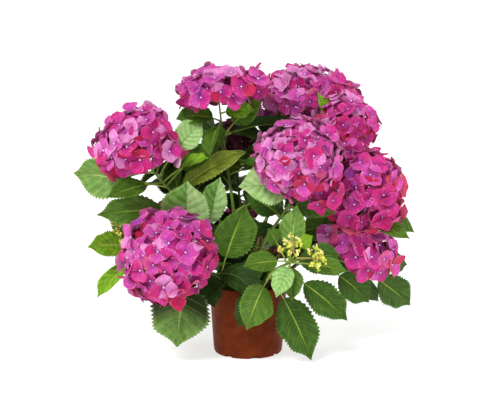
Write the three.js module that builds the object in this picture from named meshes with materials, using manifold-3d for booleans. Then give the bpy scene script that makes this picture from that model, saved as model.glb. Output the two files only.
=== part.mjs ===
// A mophead hydrangea in a round nursery pot: pot, compost, canes, leafy shoots, flower heads and buds.
// Millimetres and degrees, +Z up. The origin is the centre of the pot's flat underside, -Y is the front.
// Headings turn from +X towards +Y. The whole plant grows from one table of shoots by the same rules.

import * as THREE from 'three';
import { mergeVertices } from 'three/addons/utils/BufferGeometryUtils.js';
import Module from 'manifold-3d';

const wasm = await Module();
wasm.setup();

// ---------------------------------------------------------------- driving dimensions

const GAP = 0.3; // clearance between neighbouring solids

const POT = {
  height: 130,
  rimRadius: 75,
  rimHeight: 14,
  rimWall: 4,
  topRadius: 71, // of the wall, under the rim
  baseRadius: 64, // of the wall, above the foot ring
  wall: 2,
  floor: 2.5,
  cornerRadius: 4,
  footRing: 9, // height of the crease above the underside
  crease: 0.8,
  facets: 26,
  notches: 8,
  notchWidth: 13,
  notchHeight: 5,
  notchDepth: 8,
  firstNotch: -79.5,
};

const COMPOST_DROP = 18; // the compost lies this far below the rim
const COMPOST_TOP = POT.height - COMPOST_DROP;

const CANE = { end: 0.34, footRadius: 5.5, flare: 1.5, tipRadius: 3.4, sides: 6, steps: 4 };
const GREEN_STEM = { end: 0.86, tipRadius: 2.3, sides: 4, steps: 5 };
const STALK = { rootRadius: 2.2, tipRadius: 1.8, sides: 4, steps: 1, neck: 0.45, innerRadius: 2 };
// How a shoot leaves the pot and enters its head.
const SHOOT_BEND = { rise: 0.45, spread: 0.5, reach: 0.35 };

const BLADE = {
  rings: [0.17, 0.45, 0.78], // along the blade
  fullness: [0.78, 1, 0.54], // of the half breadth there
  midrib: 2.4, // thickness
  fold: 14, // each half rises by this angle from the midrib
  outward: 0.6, // how far the upper side turns away from the plant's middle
};
const PETIOLE = { rootRadius: 2, tipRadius: 1.3, intoBlade: 8, sides: 3, steps: 1 };
const LEAF_CLEARANCE = 0.8; // added all round a leaf while its place is tried
// Changes of heading and pitch tried in turn for a leaf that does not fit.
const NUDGES = [
  [0, 0], [7, 0], [-7, 0], [0, 8], [0, -8], [12, 8], [-12, 8], [12, -8], [-12, -8], [20, 0], [-20, 0],
];

const FILL = {
  nodes: [0.42, 0.52, 0.62, 0.72, 0.82], // along the shoot, each with an opposite pair
  turn: 90, // from one pair to the next
  firstTurn: 47, // from one shoot's first pair to the next shoot's
  stray: 14, // of a leaf's heading
  pitch: [-5, 28],
  petiole: [22, 34],
  length: [86, 118],
  breadth: 0.62, // of the length
  droop: [12, 26],
  roll: [-12, 12],
  backOf: 5, // pairs made by rule stay behind this line, so the front keeps its gaps
  reach: 305, // and within this distance of the pot's axis
  lowest: 12,
};

const DOME = {
  core: 0.86, // of the head's radius
  ruffle: 0.1, // how far its petals stand in and out, of the core's radius
  detail: 3,
  shell: 13, // depth of its hollow under the mean surface
  hollowFacets: 6,
  rim: 112, // polar angle where it is open below
};
const FLORET = {
  radius: 25,
  sizes: [0.9, 1.1],
  perDome: 4, // on a dome of the radius below
  domeRadius: 85,
  points: 8,
  notch: 0.6, // of the radius, between two sepals
  root: 12, // sunk into the dome
  centre: 4,
  rim: 9,
  tilt: 16,
};
const BUDS = {
  count: 4, // in each of the two tufts
  reach: 24,
  reaches: [0.85, 1.15],
  radius: 4.6,
  stalk: 1,
  rim: 84,
  fork: 24,
  sway: 34,
};

// Each shoot: where its cane leaves the compost (heading, distance from the axis), what it carries, and
// its leaves. A leaf row is: place along the shoot, heading and pitch of the leaf as a whole, length of
// its petiole, length and breadth of its blade, droop towards the tip, and roll about its midrib.
const SHOOTS = [
  {
    name: 'lowleft',
    foot: [238, 42],
    head: { centre: [-139, -110, 200], axis: [-0.4, -0.75, 0.52], radius: 98, flatness: 0.86 },
    leaves: [
      [0.82, -115, -72, 28, 113, 106, 10, -45],
      [0.36, -26, 69, 38, 107, 62, 6, 65],
      [0.45, -34, -23, 12, 90, 62, 40, 0],
      [0.6, -58, -58, 8, 62, 50, 12, 0],
    ],
  },
  {
    name: 'centre',
    foot: [300, 42],
    buds: { neck: [86, -118, 200], axis: [0.3, -0.8, 0.5] },
    leaves: [
      [0.36, -24, -61, 48, 122, 74, 8, 55],
      [0.43, -132, -51, 36, 90, 67, 14, -30],
      [0.56, -6, -37, 53, 102, 64, 10, 65],
      [0.84, -115, -37, 15, 68, 42, 12, 0],
      [0.84, -147, 2, 31, 71, 42, 10, -25],
      [0.8, -86, -55, 10, 62, 36, 8, 10],
      [0.8, -59, 78, 26, 83, 46, 4, -55],
      [0.72, 16, 6, 23, 79, 64, 10, 70],
      [0.8, -5, -8, 35, 67, 36, 8, 55],
      [0.8, -37, 48, 39, 34, 28, 8, 70],
      [0.74, -138, 56, 48, 36, 32, 6, -50],
      [0.5, -150, -52, 48, 75, 50, 12, -15],
    ],
  },
  {
    name: 'left',
    foot: [200, 32],
    head: { centre: [-203, -30, 392], axis: [-0.45, -0.3, 0.84], radius: 86, flatness: 0.8 },
    leaves: [
      [0.76, 172, 6, 68, 116, 71, 4, -85],
      [0.8, -133, -5, 42, 92, 52, 8, -60],
      [0.73, 38, 22, 58, 125, 66, 10, 40],
      [0.8, -15, 29, 44, 55, 42, 16, 10],
      [0.84, 20, 49, 61, 69, 57, 12, 75],
      [0.62, 8, 43, 33, 62, 50, 10, 75],
      [0.84, 42, 46, 94, 57, 42, 10, 50],
      [0.4, -61, 66, 19, 99, 54, 6, 85],
    ],
  },
  {
    name: 'farleft',
    foot: [180, 52],
    buds: { neck: [-222, 10, 203], axis: [-0.8, 0.05, 0.6] },
    leaves: [
      [0.46, -82, 67, 64, 105, 94, 4, -75],
      [0.7, 164, 29, 33, 109, 54, 8, -60],
      [0.8, -139, 11, 54, 81, 50, 12, -85],
      [0.8, -136, -30, 49, 89, 40, 14, -40],
    ],
  },
  {
    name: 'topleft',
    foot: [170, 14],
    head: { centre: [-55, 30, 482], axis: [-0.1, 0.1, 1], radius: 85, flatness: 0.58 },
    leaves: [
      [0.7, -146, 49, 12, 62, 50, 28, 70],
      [0.82, -15, 51, 31, 68, 46, 12, -60],
      [0.77, 124, 31, 37, 63, 46, 12, -60],
    ],
  },
  {
    name: 'top',
    foot: [50, 14],
    head: { centre: [121, 150, 472], axis: [0.1, 0.15, 1], radius: 96, flatness: 0.55 },
    leaves: [[0.66, 173, 58, 67, 61, 42, 10, 50]],
  },
  {
    name: 'topright',
    foot: [5, 30],
    head: { centre: [182, 24, 423], axis: [0.35, -0.1, 0.93], radius: 64, flatness: 0.85 },
    leaves: [[0.42, -150, -19, 29, 46, 46, 12, 15]],
  },
  {
    name: 'front',
    foot: [290, 15],
    head: { centre: [89, -105, 377], axis: [0, -0.45, 0.89], radius: 89, flatness: 0.88 },
    leaves: [
      [0.84, -157, 9, 12, 97, 60, 12, -30],
      [0.69, -27, 8, 20, 74, 60, 12, 20],
      [0.62, -172, 32, 10, 65, 53, 12, -45],
      [0.36, -110, -48, 19, 82, 46, 12, 10],
    ],
  },
  {
    name: 'right',
    foot: [335, 34],
    head: { centre: [223, -20, 316], axis: [0.7, -0.35, 0.62], radius: 73, flatness: 0.85 },
    leaves: [
      [0.74, -8, -12, 94, 69, 50, 10, 55],
      [0.49, -28, 15, 12, 66, 60, 10, 75],
    ],
  },
  {
    name: 'lowright',
    foot: [355, 51],
    head: { centre: [218, 10, 192], axis: [0.8, -0.5, 0.3], radius: 80, flatness: 0.7 },
    leaves: [
      [0.7, 10, -32, 113, 81, 67, 12, 85],
      [0.74, 16, -4, 112, 67, 50, 6, 55],
      [0.66, 6, -32, 85, 65, 50, 12, 80],
      [0.5, -10, -28, 65, 76, 62, 14, 85],
      [0.5, 11, -5, 44, 76, 60, 10, 75],
    ],
  },
  {
    name: 'back',
    foot: [95, 30],
    head: { centre: [-25, 115, 376], axis: [-0.05, 0.3, 0.95], radius: 57, flatness: 0.9 },
    leaves: [],
  },
  {
    name: 'backright',
    foot: [50, 37],
    head: { centre: [135, 165, 285], axis: [0.45, 0.78, 0.43], radius: 76, flatness: 0.8 },
    leaves: [],
  },
  {
    name: 'backleft',
    foot: [145, 51],
    head: { centre: [-140, 125, 225], axis: [-0.6, 0.68, 0.42], radius: 82, flatness: 0.8 },
    leaves: [],
  },
  {
    name: 'backlow',
    foot: [90, 52],
    head: { centre: [5, 200, 190], axis: [0.05, 0.93, 0.36], radius: 72, flatness: 0.8 },
    leaves: [],
  },
  {
    name: 'highleft',
    foot: [135, 32],
    tip: { neck: [-125, 120, 355], axis: [-0.45, 0.45, 0.78] },
    leaves: [],
  },
];

const COLOURS = {
  terracotta: new THREE.MeshStandardMaterial({ color: 0xa8452c, roughness: 0.45, metalness: 0 }),
  compost: new THREE.MeshStandardMaterial({ color: 0x33241a, roughness: 1, metalness: 0 }),
  cane: new THREE.MeshStandardMaterial({ color: 0x7d7440, roughness: 0.75, metalness: 0 }),
  leaf: new THREE.MeshStandardMaterial({ color: 0x3f6b28, roughness: 0.5, metalness: 0 }),
  pink: new THREE.MeshStandardMaterial({ color: 0xc7309a, roughness: 0.6, metalness: 0 }),
  shaded: new THREE.MeshStandardMaterial({ color: 0x7a2247, roughness: 0.65, metalness: 0 }),
  bud: new THREE.MeshStandardMaterial({ color: 0xc9cf3c, roughness: 0.6, metalness: 0 }),
};

// ---------------------------------------------------------------- small tools

const UP = new THREE.Vector3(0, 0, 1);
const radians = THREE.MathUtils.degToRad;

/** A unit vector from a heading and a pitch above the level. */
function direction(heading, pitch) {
  const level = Math.cos(radians(pitch));
  return new THREE.Vector3(
    level * Math.cos(radians(heading)),
    level * Math.sin(radians(heading)),
    Math.sin(radians(pitch)),
  );
}

/** Random numbers from 0 to 1 that are the same in every run. */
function dice(seed) {
  let state = seed;
  return () => {
    state = (state * 16807) % 2147483647;
    return state / 2147483647;
  };
}

/** A number between the two ends of a range, by a throw of the dice. */
function between([low, high], roll) {
  return low + (high - low) * roll();
}

/** The part of a vector that is square to a unit vector, at unit length. */
function squareTo(vector, axis) {
  return vector.clone().addScaledVector(axis, -vector.dot(axis)).normalize();
}

/** A closed three.js geometry as a solid that can be joined and cut. */
function solidOf(geometry) {
  geometry.deleteAttribute('normal');
  geometry.deleteAttribute('uv');
  const merged = mergeVertices(geometry, 1e-4);
  const corners = merged.index.array;
  const kept = [];
  for (let i = 0; i < corners.length; i += 3) {
    const [a, b, c] = [corners[i], corners[i + 1], corners[i + 2]];
    if (a !== b && b !== c && c !== a) kept.push(a, b, c);
  }
  return new wasm.Manifold(new wasm.Mesh({
    numProp: 3,
    vertProperties: merged.getAttribute('position').array,
    triVerts: Uint32Array.from(kept),
  }));
}

/** A finished solid as a named mesh of the scene graph. */
function meshOf(name, solid, material) {
  const { vertProperties, triVerts } = solid.getMesh();
  const geometry = new THREE.BufferGeometry();
  geometry.setAttribute('position', new THREE.BufferAttribute(vertProperties, 3));
  geometry.setIndex(new THREE.BufferAttribute(triVerts, 1));
  geometry.computeVertexNormals();
  const mesh = new THREE.Mesh(geometry, material);
  mesh.name = name;
  return mesh;
}

/** Moves every vertex of a geometry by a rule. */
function reshape(geometry, rule) {
  const place = geometry.getAttribute('position');
  const vertex = new THREE.Vector3();
  for (let i = 0; i < place.count; i += 1) {
    const moved = rule(vertex.fromBufferAttribute(place, i));
    place.setXYZ(i, moved.x, moved.y, moved.z);
  }
  return geometry;
}

/** A tapered rod along part of a curve, with flat ends; `rooted` keeps its first end level. */
function rod(curve, from, to, radiusAt, { sides, steps, rooted = false }) {
  const level = curve.getPoint(1).sub(curve.getPoint(0)).cross(UP);
  if (level.lengthSq() < 1e-6) level.set(1, 0, 0);
  level.normalize();
  return solidOf(reshape(new THREE.CylinderGeometry(1, 1, 1, sides, steps), (vertex) => {
    const along = vertex.y + 0.5;
    const place = from + (to - from) * along;
    const tangent = rooted && along < 1e-6 ? UP : curve.getTangentAt(place);
    const across = squareTo(level, tangent);
    const radius = radiusAt(along);
    return curve.getPointAt(place)
      .addScaledVector(across, vertex.x * radius)
      .addScaledVector(across.clone().cross(tangent), vertex.z * radius);
  }));
}

/** A radius that changes evenly along a rod. */
function taper(first, last) {
  return (along) => first + (last - first) * along;
}

// ---------------------------------------------------------------- pot and compost

function potWallRadius(z) {
  const rise = (z - POT.footRing) / (POT.height - POT.rimHeight - POT.footRing);
  return POT.baseRadius + (POT.topRadius - POT.baseRadius) * rise;
}

function makePot() {
  const { height, rimRadius, rimHeight, rimWall, wall, floor, cornerRadius, footRing, crease } = POT;
  const underRim = height - rimHeight;
  const foot = potWallRadius(footRing) - crease;
  const outline = [
    [0, 0],
    [foot - cornerRadius, 0],
    [foot - cornerRadius * 0.3, cornerRadius * 0.3],
    [foot, cornerRadius],
    [foot, footRing - crease],
    [potWallRadius(footRing), footRing],
    [potWallRadius(underRim), underRim],
    [rimRadius - 1, underRim],
    [rimRadius, height - 1],
    [rimRadius - 1, height],
    [rimRadius - rimWall, height],
    [potWallRadius(underRim) - wall, underRim],
    [potWallRadius(floor) - wall, floor],
    [0, floor],
  ].map(([radius, z]) => new THREE.Vector2(radius, z));
  let pot = solidOf(new THREE.LatheGeometry(outline, POT.facets).rotateX(Math.PI / 2));
  for (let i = 0; i < POT.notches; i += 1) {
    const heading = POT.firstNotch + (i * 360) / POT.notches;
    const notch = new THREE.BoxGeometry(2 * POT.notchDepth, POT.notchWidth, 2 * POT.notchHeight)
      .translate(foot, 0, 0)
      .rotateZ(radians(heading));
    pot = pot.subtract(solidOf(notch));
  }
  return pot;
}

function makeCompost() {
  const bottom = POT.floor + GAP;
  const inside = POT.wall + 1.5 * GAP;
  const block = new THREE.CylinderGeometry(
    potWallRadius(COMPOST_TOP) - inside,
    potWallRadius(bottom) - inside,
    COMPOST_TOP - bottom,
    POT.facets,
  );
  return solidOf(block.rotateX(Math.PI / 2).translate(0, 0, (COMPOST_TOP + bottom) / 2));
}

// ---------------------------------------------------------------- shoots

/** The line of a shoot from the compost to the neck of what it carries. */
function shootLine(shoot) {
  const foot = direction(shoot.foot[0], 0).multiplyScalar(shoot.foot[1]).setZ(COMPOST_TOP + GAP);
  const { neck, axis } = shootNeck(shoot);
  const span = neck.distanceTo(foot);
  const { rise, spread } = SHOOT_BEND;
  const leave = foot.clone().add(new THREE.Vector3(foot.x * spread, foot.y * spread, rise * span));
  const arrive = neck.clone().addScaledVector(axis, -SHOOT_BEND.reach * span);
  return new THREE.CubicBezierCurve3(foot, leave, arrive, neck);
}

/** Where a shoot ends, and the way it points there. */
function shootNeck({ head, buds, tip }) {
  const end = head ?? buds ?? tip;
  const axis = new THREE.Vector3(...end.axis).normalize();
  if (!head) return { neck: new THREE.Vector3(...end.neck), axis };
  const below = -head.radius * head.flatness * STALK.neck;
  return { neck: new THREE.Vector3(...head.centre).addScaledVector(axis, below), axis };
}

function makeCane(line) {
  const { end, footRadius, flare, tipRadius, sides, steps } = CANE;
  const even = taper(footRadius, tipRadius);
  const radiusAt = (along) => even(along) * (along < 1e-6 ? flare : 1);
  return rod(line, 0, end, radiusAt, { sides, steps, rooted: true });
}

function makeGreenStem(line, end) {
  const start = CANE.end + GAP / line.getLength();
  return rod(line, start, end, taper(CANE.tipRadius, GREEN_STEM.tipRadius), GREEN_STEM);
}

// ---------------------------------------------------------------- leaves

/** The line of a leaf, from the middle of its stem to its tip. */
function leafLine(root, [, heading, pitch, petiole, length, , droop]) {
  const reach = petiole + length;
  const tip = root.clone().addScaledVector(direction(heading, pitch), reach);
  const bend = reach / 2 / Math.cos(radians(droop));
  const over = root.clone().addScaledVector(direction(heading, pitch + droop), bend);
  return new THREE.QuadraticBezierCurve3(root.clone(), over, tip);
}

/** A leaf blade: a four-sided ball drawn out along the line, with a raised midrib and thin edges. */
function makeBlade(line, [, , , petiole, length, breadth, , roll], grow = 0) {
  const start = petiole / (petiole + length);
  const rows = BLADE.rings.length + 1;
  const fold = radians(BLADE.fold);
  return solidOf(reshape(new THREE.SphereGeometry(1, 4, rows), (vertex) => {
    const row = Math.round((Math.acos(THREE.MathUtils.clamp(vertex.y, -1, 1)) / Math.PI) * rows);
    const along = [0, ...BLADE.rings, 1][row];
    const wide = [0, ...BLADE.fullness, 0][row];
    const spot = line.getPointAt(start + (1 - start) * along);
    if (wide === 0) return spot;
    const tangent = line.getTangentAt(start + (1 - start) * along);
    const facing = UP.clone().addScaledVector(direction(headingOf(spot), 0), BLADE.outward);
    const face = squareTo(facing, tangent).applyAxisAngle(tangent, radians(roll));
    const side = face.clone().cross(tangent);
    const across = Math.abs(vertex.x) > Math.abs(vertex.z) ? Math.sign(vertex.x) : 0;
    const above = across === 0 ? Math.sign(vertex.z) : 0;
    const half = (wide * breadth) / 2 + grow;
    return spot
      .addScaledVector(side, across * half * Math.cos(fold))
      .addScaledVector(face, Math.abs(across) * half * Math.sin(fold))
      .addScaledVector(face, above * (BLADE.midrib / 2 + grow));
  }));
}

function headingOf(spot) {
  return THREE.MathUtils.radToDeg(Math.atan2(spot.y, spot.x));
}

function makePetiole(line, [, , , petiole, length], grow = 0) {
  const { rootRadius, tipRadius, intoBlade, sides, steps } = PETIOLE;
  const end = (petiole + intoBlade) / (petiole + length);
  return rod(line, 0, end, taper(rootRadius + grow, tipRadius + grow), { sides, steps });
}

/** Opposite pairs of leaves for a shoot, each pair turned from the last one, as on the real plant. */
function* pairsByRule(first, roll) {
  for (const [step, place] of FILL.nodes.entries()) {
    for (const side of [0, 180]) {
      const length = between(FILL.length, roll);
      yield [
        place,
        first + step * FILL.turn + side + between([-FILL.stray, FILL.stray], roll),
        between(FILL.pitch, roll),
        between(FILL.petiole, roll),
        length,
        length * FILL.breadth,
        between(FILL.droop, roll),
        between(FILL.roll, roll),
      ];
    }
  }
}

// ---------------------------------------------------------------- heads and buds

/** Turns a solid made about +Y so that it stands at a place along an axis. */
function standAt(place, axis) {
  const turn = new THREE.Quaternion().setFromUnitVectors(new THREE.Vector3(0, 1, 0), axis);
  return new THREE.Matrix4().compose(place, turn, new THREE.Vector3(1, 1, 1));
}

/** A thin rod with three sides between two points. */
function strut(from, to, radius) {
  return rod(new THREE.LineCurve3(from, to), 0, 1, taper(radius, radius), { sides: 3, steps: 1 });
}

/** Directions spread evenly over a dome, as polar angle and turn. */
function spiral(count, rimAngle) {
  const golden = Math.PI * (3 - Math.sqrt(5));
  const depth = 1 - Math.cos(radians(rimAngle));
  const polar = (i) => Math.acos(1 - ((i + 0.5) / count) * depth);
  return Array.from({ length: count }, (_, i) => [polar(i), i * golden]);
}

/** The point of a dome about +Y at a polar angle and turn. */
function onDome(across, along, polar, turn) {
  const level = across * Math.sin(polar);
  return new THREE.Vector3(level * Math.cos(turn), along * Math.cos(polar), level * Math.sin(turn));
}

/** The dome of close petals that a head is, about +Y: a ruffled ball, hollowed out and open below. */
function makeDome(across, along, roll) {
  const { ruffle, detail, shell, hollowFacets, rim } = DOME;
  const ball = new THREE.IcosahedronGeometry(1, detail);
  ball.deleteAttribute('normal');
  ball.deleteAttribute('uv');
  const petals = reshape(mergeVertices(ball, 1e-4), (vertex) => {
    const stand = (roll() < 0.5 ? -1 : 1) * (0.5 + 0.5 * roll());
    return vertex.multiplyScalar(1 + ruffle * stand);
  });
  const hollow = new THREE.SphereGeometry(1, hollowFacets, hollowFacets)
    .scale(across - shell, along - shell, across - shell);
  const size = 3 * across;
  const below = new THREE.BoxGeometry(size, size, size)
    .translate(0, along * Math.cos(radians(rim)) - size / 2, 0);
  return solidOf(petals.scale(across, along, across)).subtract(solidOf(hollow)).subtract(solidOf(below));
}

/** One floret about +Y: a shallow cup of four broad sepals. */
function makeFloret(radius, spin) {
  const { points, notch, root, centre, rim } = FLORET;
  return reshape(new THREE.SphereGeometry(1, points, 2), (vertex) => {
    if (Math.abs(vertex.y) > 0.5) return vertex.set(0, vertex.y > 0 ? centre : -root, 0);
    const turn = Math.atan2(vertex.z, vertex.x);
    const isTip = Math.round((turn / Math.PI) * (points / 2)) % 2 === 0;
    const reach = radius * (isTip ? 1 : notch);
    return vertex.set(reach * Math.cos(turn + spin), rim, reach * Math.sin(turn + spin));
  });
}

/** A flower head: stalk, dome and outstanding florets in one solid. */
function makeHead({ head }, line, seed) {
  const roll = dice(seed);
  const across = head.radius * DOME.core;
  const along = across * head.flatness;
  const { neck, axis } = shootNeck({ head });
  const stand = standAt(new THREE.Vector3(...head.centre), axis);
  const start = GREEN_STEM.end + GAP / line.getLength();
  let solid = rod(line, start, 1, taper(STALK.rootRadius, STALK.tipRadius), STALK);
  solid = solid.add(makeDome(across, along, roll).transform(stand.elements));
  const crown = new THREE.Vector3(...head.centre).addScaledVector(axis, along - DOME.shell / 2);
  solid = solid.add(strut(neck.clone().addScaledVector(axis, -GAP), crown, STALK.innerRadius));
  const count = Math.round(FLORET.perDome * (head.radius / FLORET.domeRadius) ** 2);
  for (const [polar, turn] of spiral(count, DOME.rim)) {
    const spot = onDome(across, along, polar, turn);
    const slope = (across / along) ** 2;
    const out = new THREE.Vector3(spot.x, spot.y * slope, spot.z).normalize();
    const sway = new THREE.Vector3(roll() - 0.5, roll() - 0.5, roll() - 0.5);
    const facing = out.addScaledVector(sway, radians(FLORET.tilt)).normalize();
    const size = FLORET.radius * between(FLORET.sizes, roll);
    const floret = solidOf(makeFloret(size, roll() * Math.PI)
      .applyMatrix4(standAt(spot, facing))
      .applyMatrix4(stand));
    if (isClearOf(floret)) solid = solid.add(floret);
  }
  return solid;
}

/** A fork of unopened flower buds, in one or two tufts. */
function makeBuds({ buds }, line, seed) {
  const roll = dice(seed);
  const { neck, axis } = shootNeck({ buds });
  const start = GREEN_STEM.end + GAP / line.getLength();
  let solid = rod(line, start, 1, taper(STALK.rootRadius, STALK.tipRadius), STALK);
  const foot = neck.clone().addScaledVector(axis, -STALK.rootRadius);
  for (const side of [-1, 1]) {
    const way = axis.clone().applyAxisAngle(UP, radians(side * BUDS.sway));
    const fork = neck.clone().addScaledVector(way, BUDS.fork);
    solid = solid.add(strut(foot, fork, STALK.tipRadius));
    const stand = standAt(fork.clone().addScaledVector(way, -STALK.tipRadius), way);
    const middle = new THREE.Vector3().applyMatrix4(stand);
    for (const [polar, turn] of spiral(BUDS.count, BUDS.rim)) {
      const reach = BUDS.reach * between(BUDS.reaches, roll);
      const spot = onDome(reach, reach, polar, turn).applyMatrix4(stand);
      const bud = new THREE.OctahedronGeometry(BUDS.radius).rotateX(turn).translate(...spot);
      solid = solid.add(strut(middle, spot, BUDS.stalk)).add(solidOf(bud));
    }
  }
  return solid;
}

// ---------------------------------------------------------------- putting the plant together

const placed = []; // every finished solid with its box, so that nothing new is made to touch it

function remember(solid, owner) {
  const { min, max } = solid.boundingBox();
  placed.push({ solid, owner, min, max });
}

/** True where a solid stays clear of all that is placed, apart from what the test lets by. */
function isClearOf(solid, skip = () => false) {
  const { min, max } = solid.boundingBox();
  return placed.every((other) => {
    const apart = [0, 1, 2].some((i) => min[i] > other.max[i] + GAP || max[i] < other.min[i] - GAP);
    return apart || skip(other) || solid.intersect(other.solid).isEmpty();
  });
}

/** Tries a leaf at its place and a little to each side; returns its solid, or nothing where it won't go. */
function growLeaf(shoot, row, inSpace) {
  const root = shoot.line.getPointAt(row[0]);
  for (const [turn, lift] of NUDGES) {
    const tried = row.with(1, row[1] + turn).with(2, row[2] + lift);
    const line = leafLine(root, tried);
    if (!inSpace(line)) continue;
    const blade = makeBlade(line, tried, LEAF_CLEARANCE);
    const petiole = makePetiole(line, tried, LEAF_CLEARANCE);
    // A petiole starts inside its own stem, beside other petioles, but crosses no blade.
    const fits = isClearOf(blade) && isClearOf(petiole, ({ owner }) => owner === shoot.name);
    if (fits) {
      const leaf = { blade: makeBlade(line, tried), petiole: makePetiole(line, tried) };
      remember(leaf.blade, `blade_${shoot.name}`);
      remember(leaf.petiole, shoot.name);
      return leaf.blade.add(leaf.petiole);
    }
  }
  return null;
}

/** The space for leaves made by rule: the back of the plant, off the ground. */
function inBackSpace(line) {
  const tip = line.getPoint(1);
  return tip.y > FILL.backOf && Math.hypot(tip.x, tip.y) < FILL.reach && tip.z > FILL.lowest;
}

const plant = new THREE.Group();
plant.name = 'hydrangea';

const pot = makePot();
const compost = makeCompost();
remember(pot, 'pot');
remember(compost, 'compost');
plant.add(meshOf('pot', pot, COLOURS.terracotta), meshOf('compost', compost, COLOURS.compost));

for (const shoot of SHOOTS) {
  shoot.line = shootLine(shoot);
  const cane = makeCane(shoot.line);
  shoot.solid = makeGreenStem(shoot.line, shoot.tip ? 1 : GREEN_STEM.end);
  remember(cane, `cane_${shoot.name}`);
  remember(shoot.solid, shoot.name);
  plant.add(meshOf(`cane_${shoot.name}`, cane, COLOURS.cane));
}

for (const [index, shoot] of SHOOTS.entries()) {
  if (shoot.head) {
    const head = makeHead(shoot, shoot.line, 101 + index);
    remember(head, `head_${shoot.name}`);
    const colour = shoot.name === 'back' ? COLOURS.shaded : COLOURS.pink;
    plant.add(meshOf(`head_${shoot.name}`, head, colour));
  } else if (shoot.buds) {
    const buds = makeBuds(shoot, shoot.line, 201 + index);
    remember(buds, `buds_${shoot.name}`);
    plant.add(meshOf(`buds_${shoot.name}`, buds, COLOURS.bud));
  }
}

for (const shoot of SHOOTS) {
  for (const row of shoot.leaves) {
    const leaf = growLeaf(shoot, row, () => true);
    if (leaf) shoot.solid = shoot.solid.add(leaf);
  }
}

for (const [index, shoot] of SHOOTS.entries()) {
  for (const row of pairsByRule(index * FILL.firstTurn, dice(301 + index))) {
    const leaf = growLeaf(shoot, row, inBackSpace);
    if (leaf) shoot.solid = shoot.solid.add(leaf);
  }
  plant.add(meshOf(`foliage_${shoot.name}`, shoot.solid, COLOURS.leaf));
}

export default plant;
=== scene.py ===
"""A mophead hydrangea in its nursery pot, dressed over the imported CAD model.

Shoots, leaves and flower heads grow by the same rules as the part's source, written again here and carried on
to toothed leaves, florets, flower stalks and buds within the same reach. The rules work in millimetres, with
+Z up and -Y to the front, and every finished mesh is in metres.
"""

import logging
import math
from dataclasses import dataclass, field, replace
from enum import Enum
from typing import Callable, Iterator

import bmesh
import bpy
import numpy as np
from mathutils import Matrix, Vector
from mathutils.kdtree import KDTree


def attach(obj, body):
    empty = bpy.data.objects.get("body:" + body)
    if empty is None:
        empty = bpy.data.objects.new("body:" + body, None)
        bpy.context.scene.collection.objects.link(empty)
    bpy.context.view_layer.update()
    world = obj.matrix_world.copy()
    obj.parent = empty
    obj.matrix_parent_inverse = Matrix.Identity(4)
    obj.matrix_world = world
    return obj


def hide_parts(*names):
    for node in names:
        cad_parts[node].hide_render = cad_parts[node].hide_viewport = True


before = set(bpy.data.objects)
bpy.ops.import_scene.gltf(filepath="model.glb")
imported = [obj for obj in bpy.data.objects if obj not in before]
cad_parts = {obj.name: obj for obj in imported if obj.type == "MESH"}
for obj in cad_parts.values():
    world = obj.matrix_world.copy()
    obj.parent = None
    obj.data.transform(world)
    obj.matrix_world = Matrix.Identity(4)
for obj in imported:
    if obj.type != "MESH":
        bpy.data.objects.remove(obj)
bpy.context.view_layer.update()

LOG = logging.getLogger("hydrangea")

MM = 0.001
GAP = 0.3
UP = np.array((0.0, 0.0, 1.0))
UV_NAME = "OFBake"
# Bands of the blades' pattern map, side veins of a leaf, and the fold in degrees that makes an edge crisp.
CELLS = 3
VEINS = 8
SHARP = 50.0
# The share of a head's radius that nothing else grows into, and the places of the leaf pairs on a shoot.
HEAD_CORE = 0.78
PAIR_PLACES = (0.42, 0.52, 0.62, 0.72, 0.82)
# A whole turn in radians, for phases that chance picks.
FULL_TURN = 6.28


# ---------------------------------------------------------------- small tools


def direction(heading: float, pitch: float) -> np.ndarray:
    """A unit vector from a heading and a pitch above the level, both in degrees."""
    level = math.cos(math.radians(pitch))
    turn = math.radians(heading)
    return np.array((level * math.cos(turn), level * math.sin(turn), math.sin(math.radians(pitch))))


def outward(polar: float, turn: float) -> np.ndarray:
    """A unit vector at a polar angle from +Z and a turn about it, both in radians."""
    level = math.sin(polar)
    return np.array((level * math.cos(turn), level * math.sin(turn), math.cos(polar)))


def spun(x: np.ndarray, y: np.ndarray, turn: float) -> tuple[np.ndarray, np.ndarray]:
    """Two coordinates turned in their plane by an angle in radians."""
    return x * math.cos(turn) - y * math.sin(turn), x * math.sin(turn) + y * math.cos(turn)


def unit(vectors: np.ndarray) -> np.ndarray:
    """Vectors at unit length."""
    return vectors / np.maximum(np.linalg.norm(vectors, axis=-1, keepdims=True), 1e-9)


def square_to(vectors: np.ndarray, axes: np.ndarray) -> np.ndarray:
    """The parts of vectors that are square to unit axes, at unit length."""
    return unit(vectors - np.sum(vectors * axes, axis=-1, keepdims=True) * axes)


def rotated(vectors: np.ndarray, axes: np.ndarray, angle: float) -> np.ndarray:
    """Vectors turned about unit axes that they are square to, by an angle in radians."""
    return vectors * math.cos(angle) + np.cross(axes, vectors) * math.sin(angle)


def smooth(low: float, high: float, value: np.ndarray) -> np.ndarray:
    """A smooth step from 0 at low to 1 at high."""
    step = np.clip((value - low) / (high - low), 0.0, 1.0)
    return step * step * (3 - 2 * step)


class Seed(Enum):
    """Where each run of chance starts. The part's source has the same start for its pairs of leaves."""

    CRUMBS = 71
    PAIRS = 301
    TONES = 401
    HEADS = 501
    TUFTS = 601
    CANES = 701
    YOUNG = 801


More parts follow.
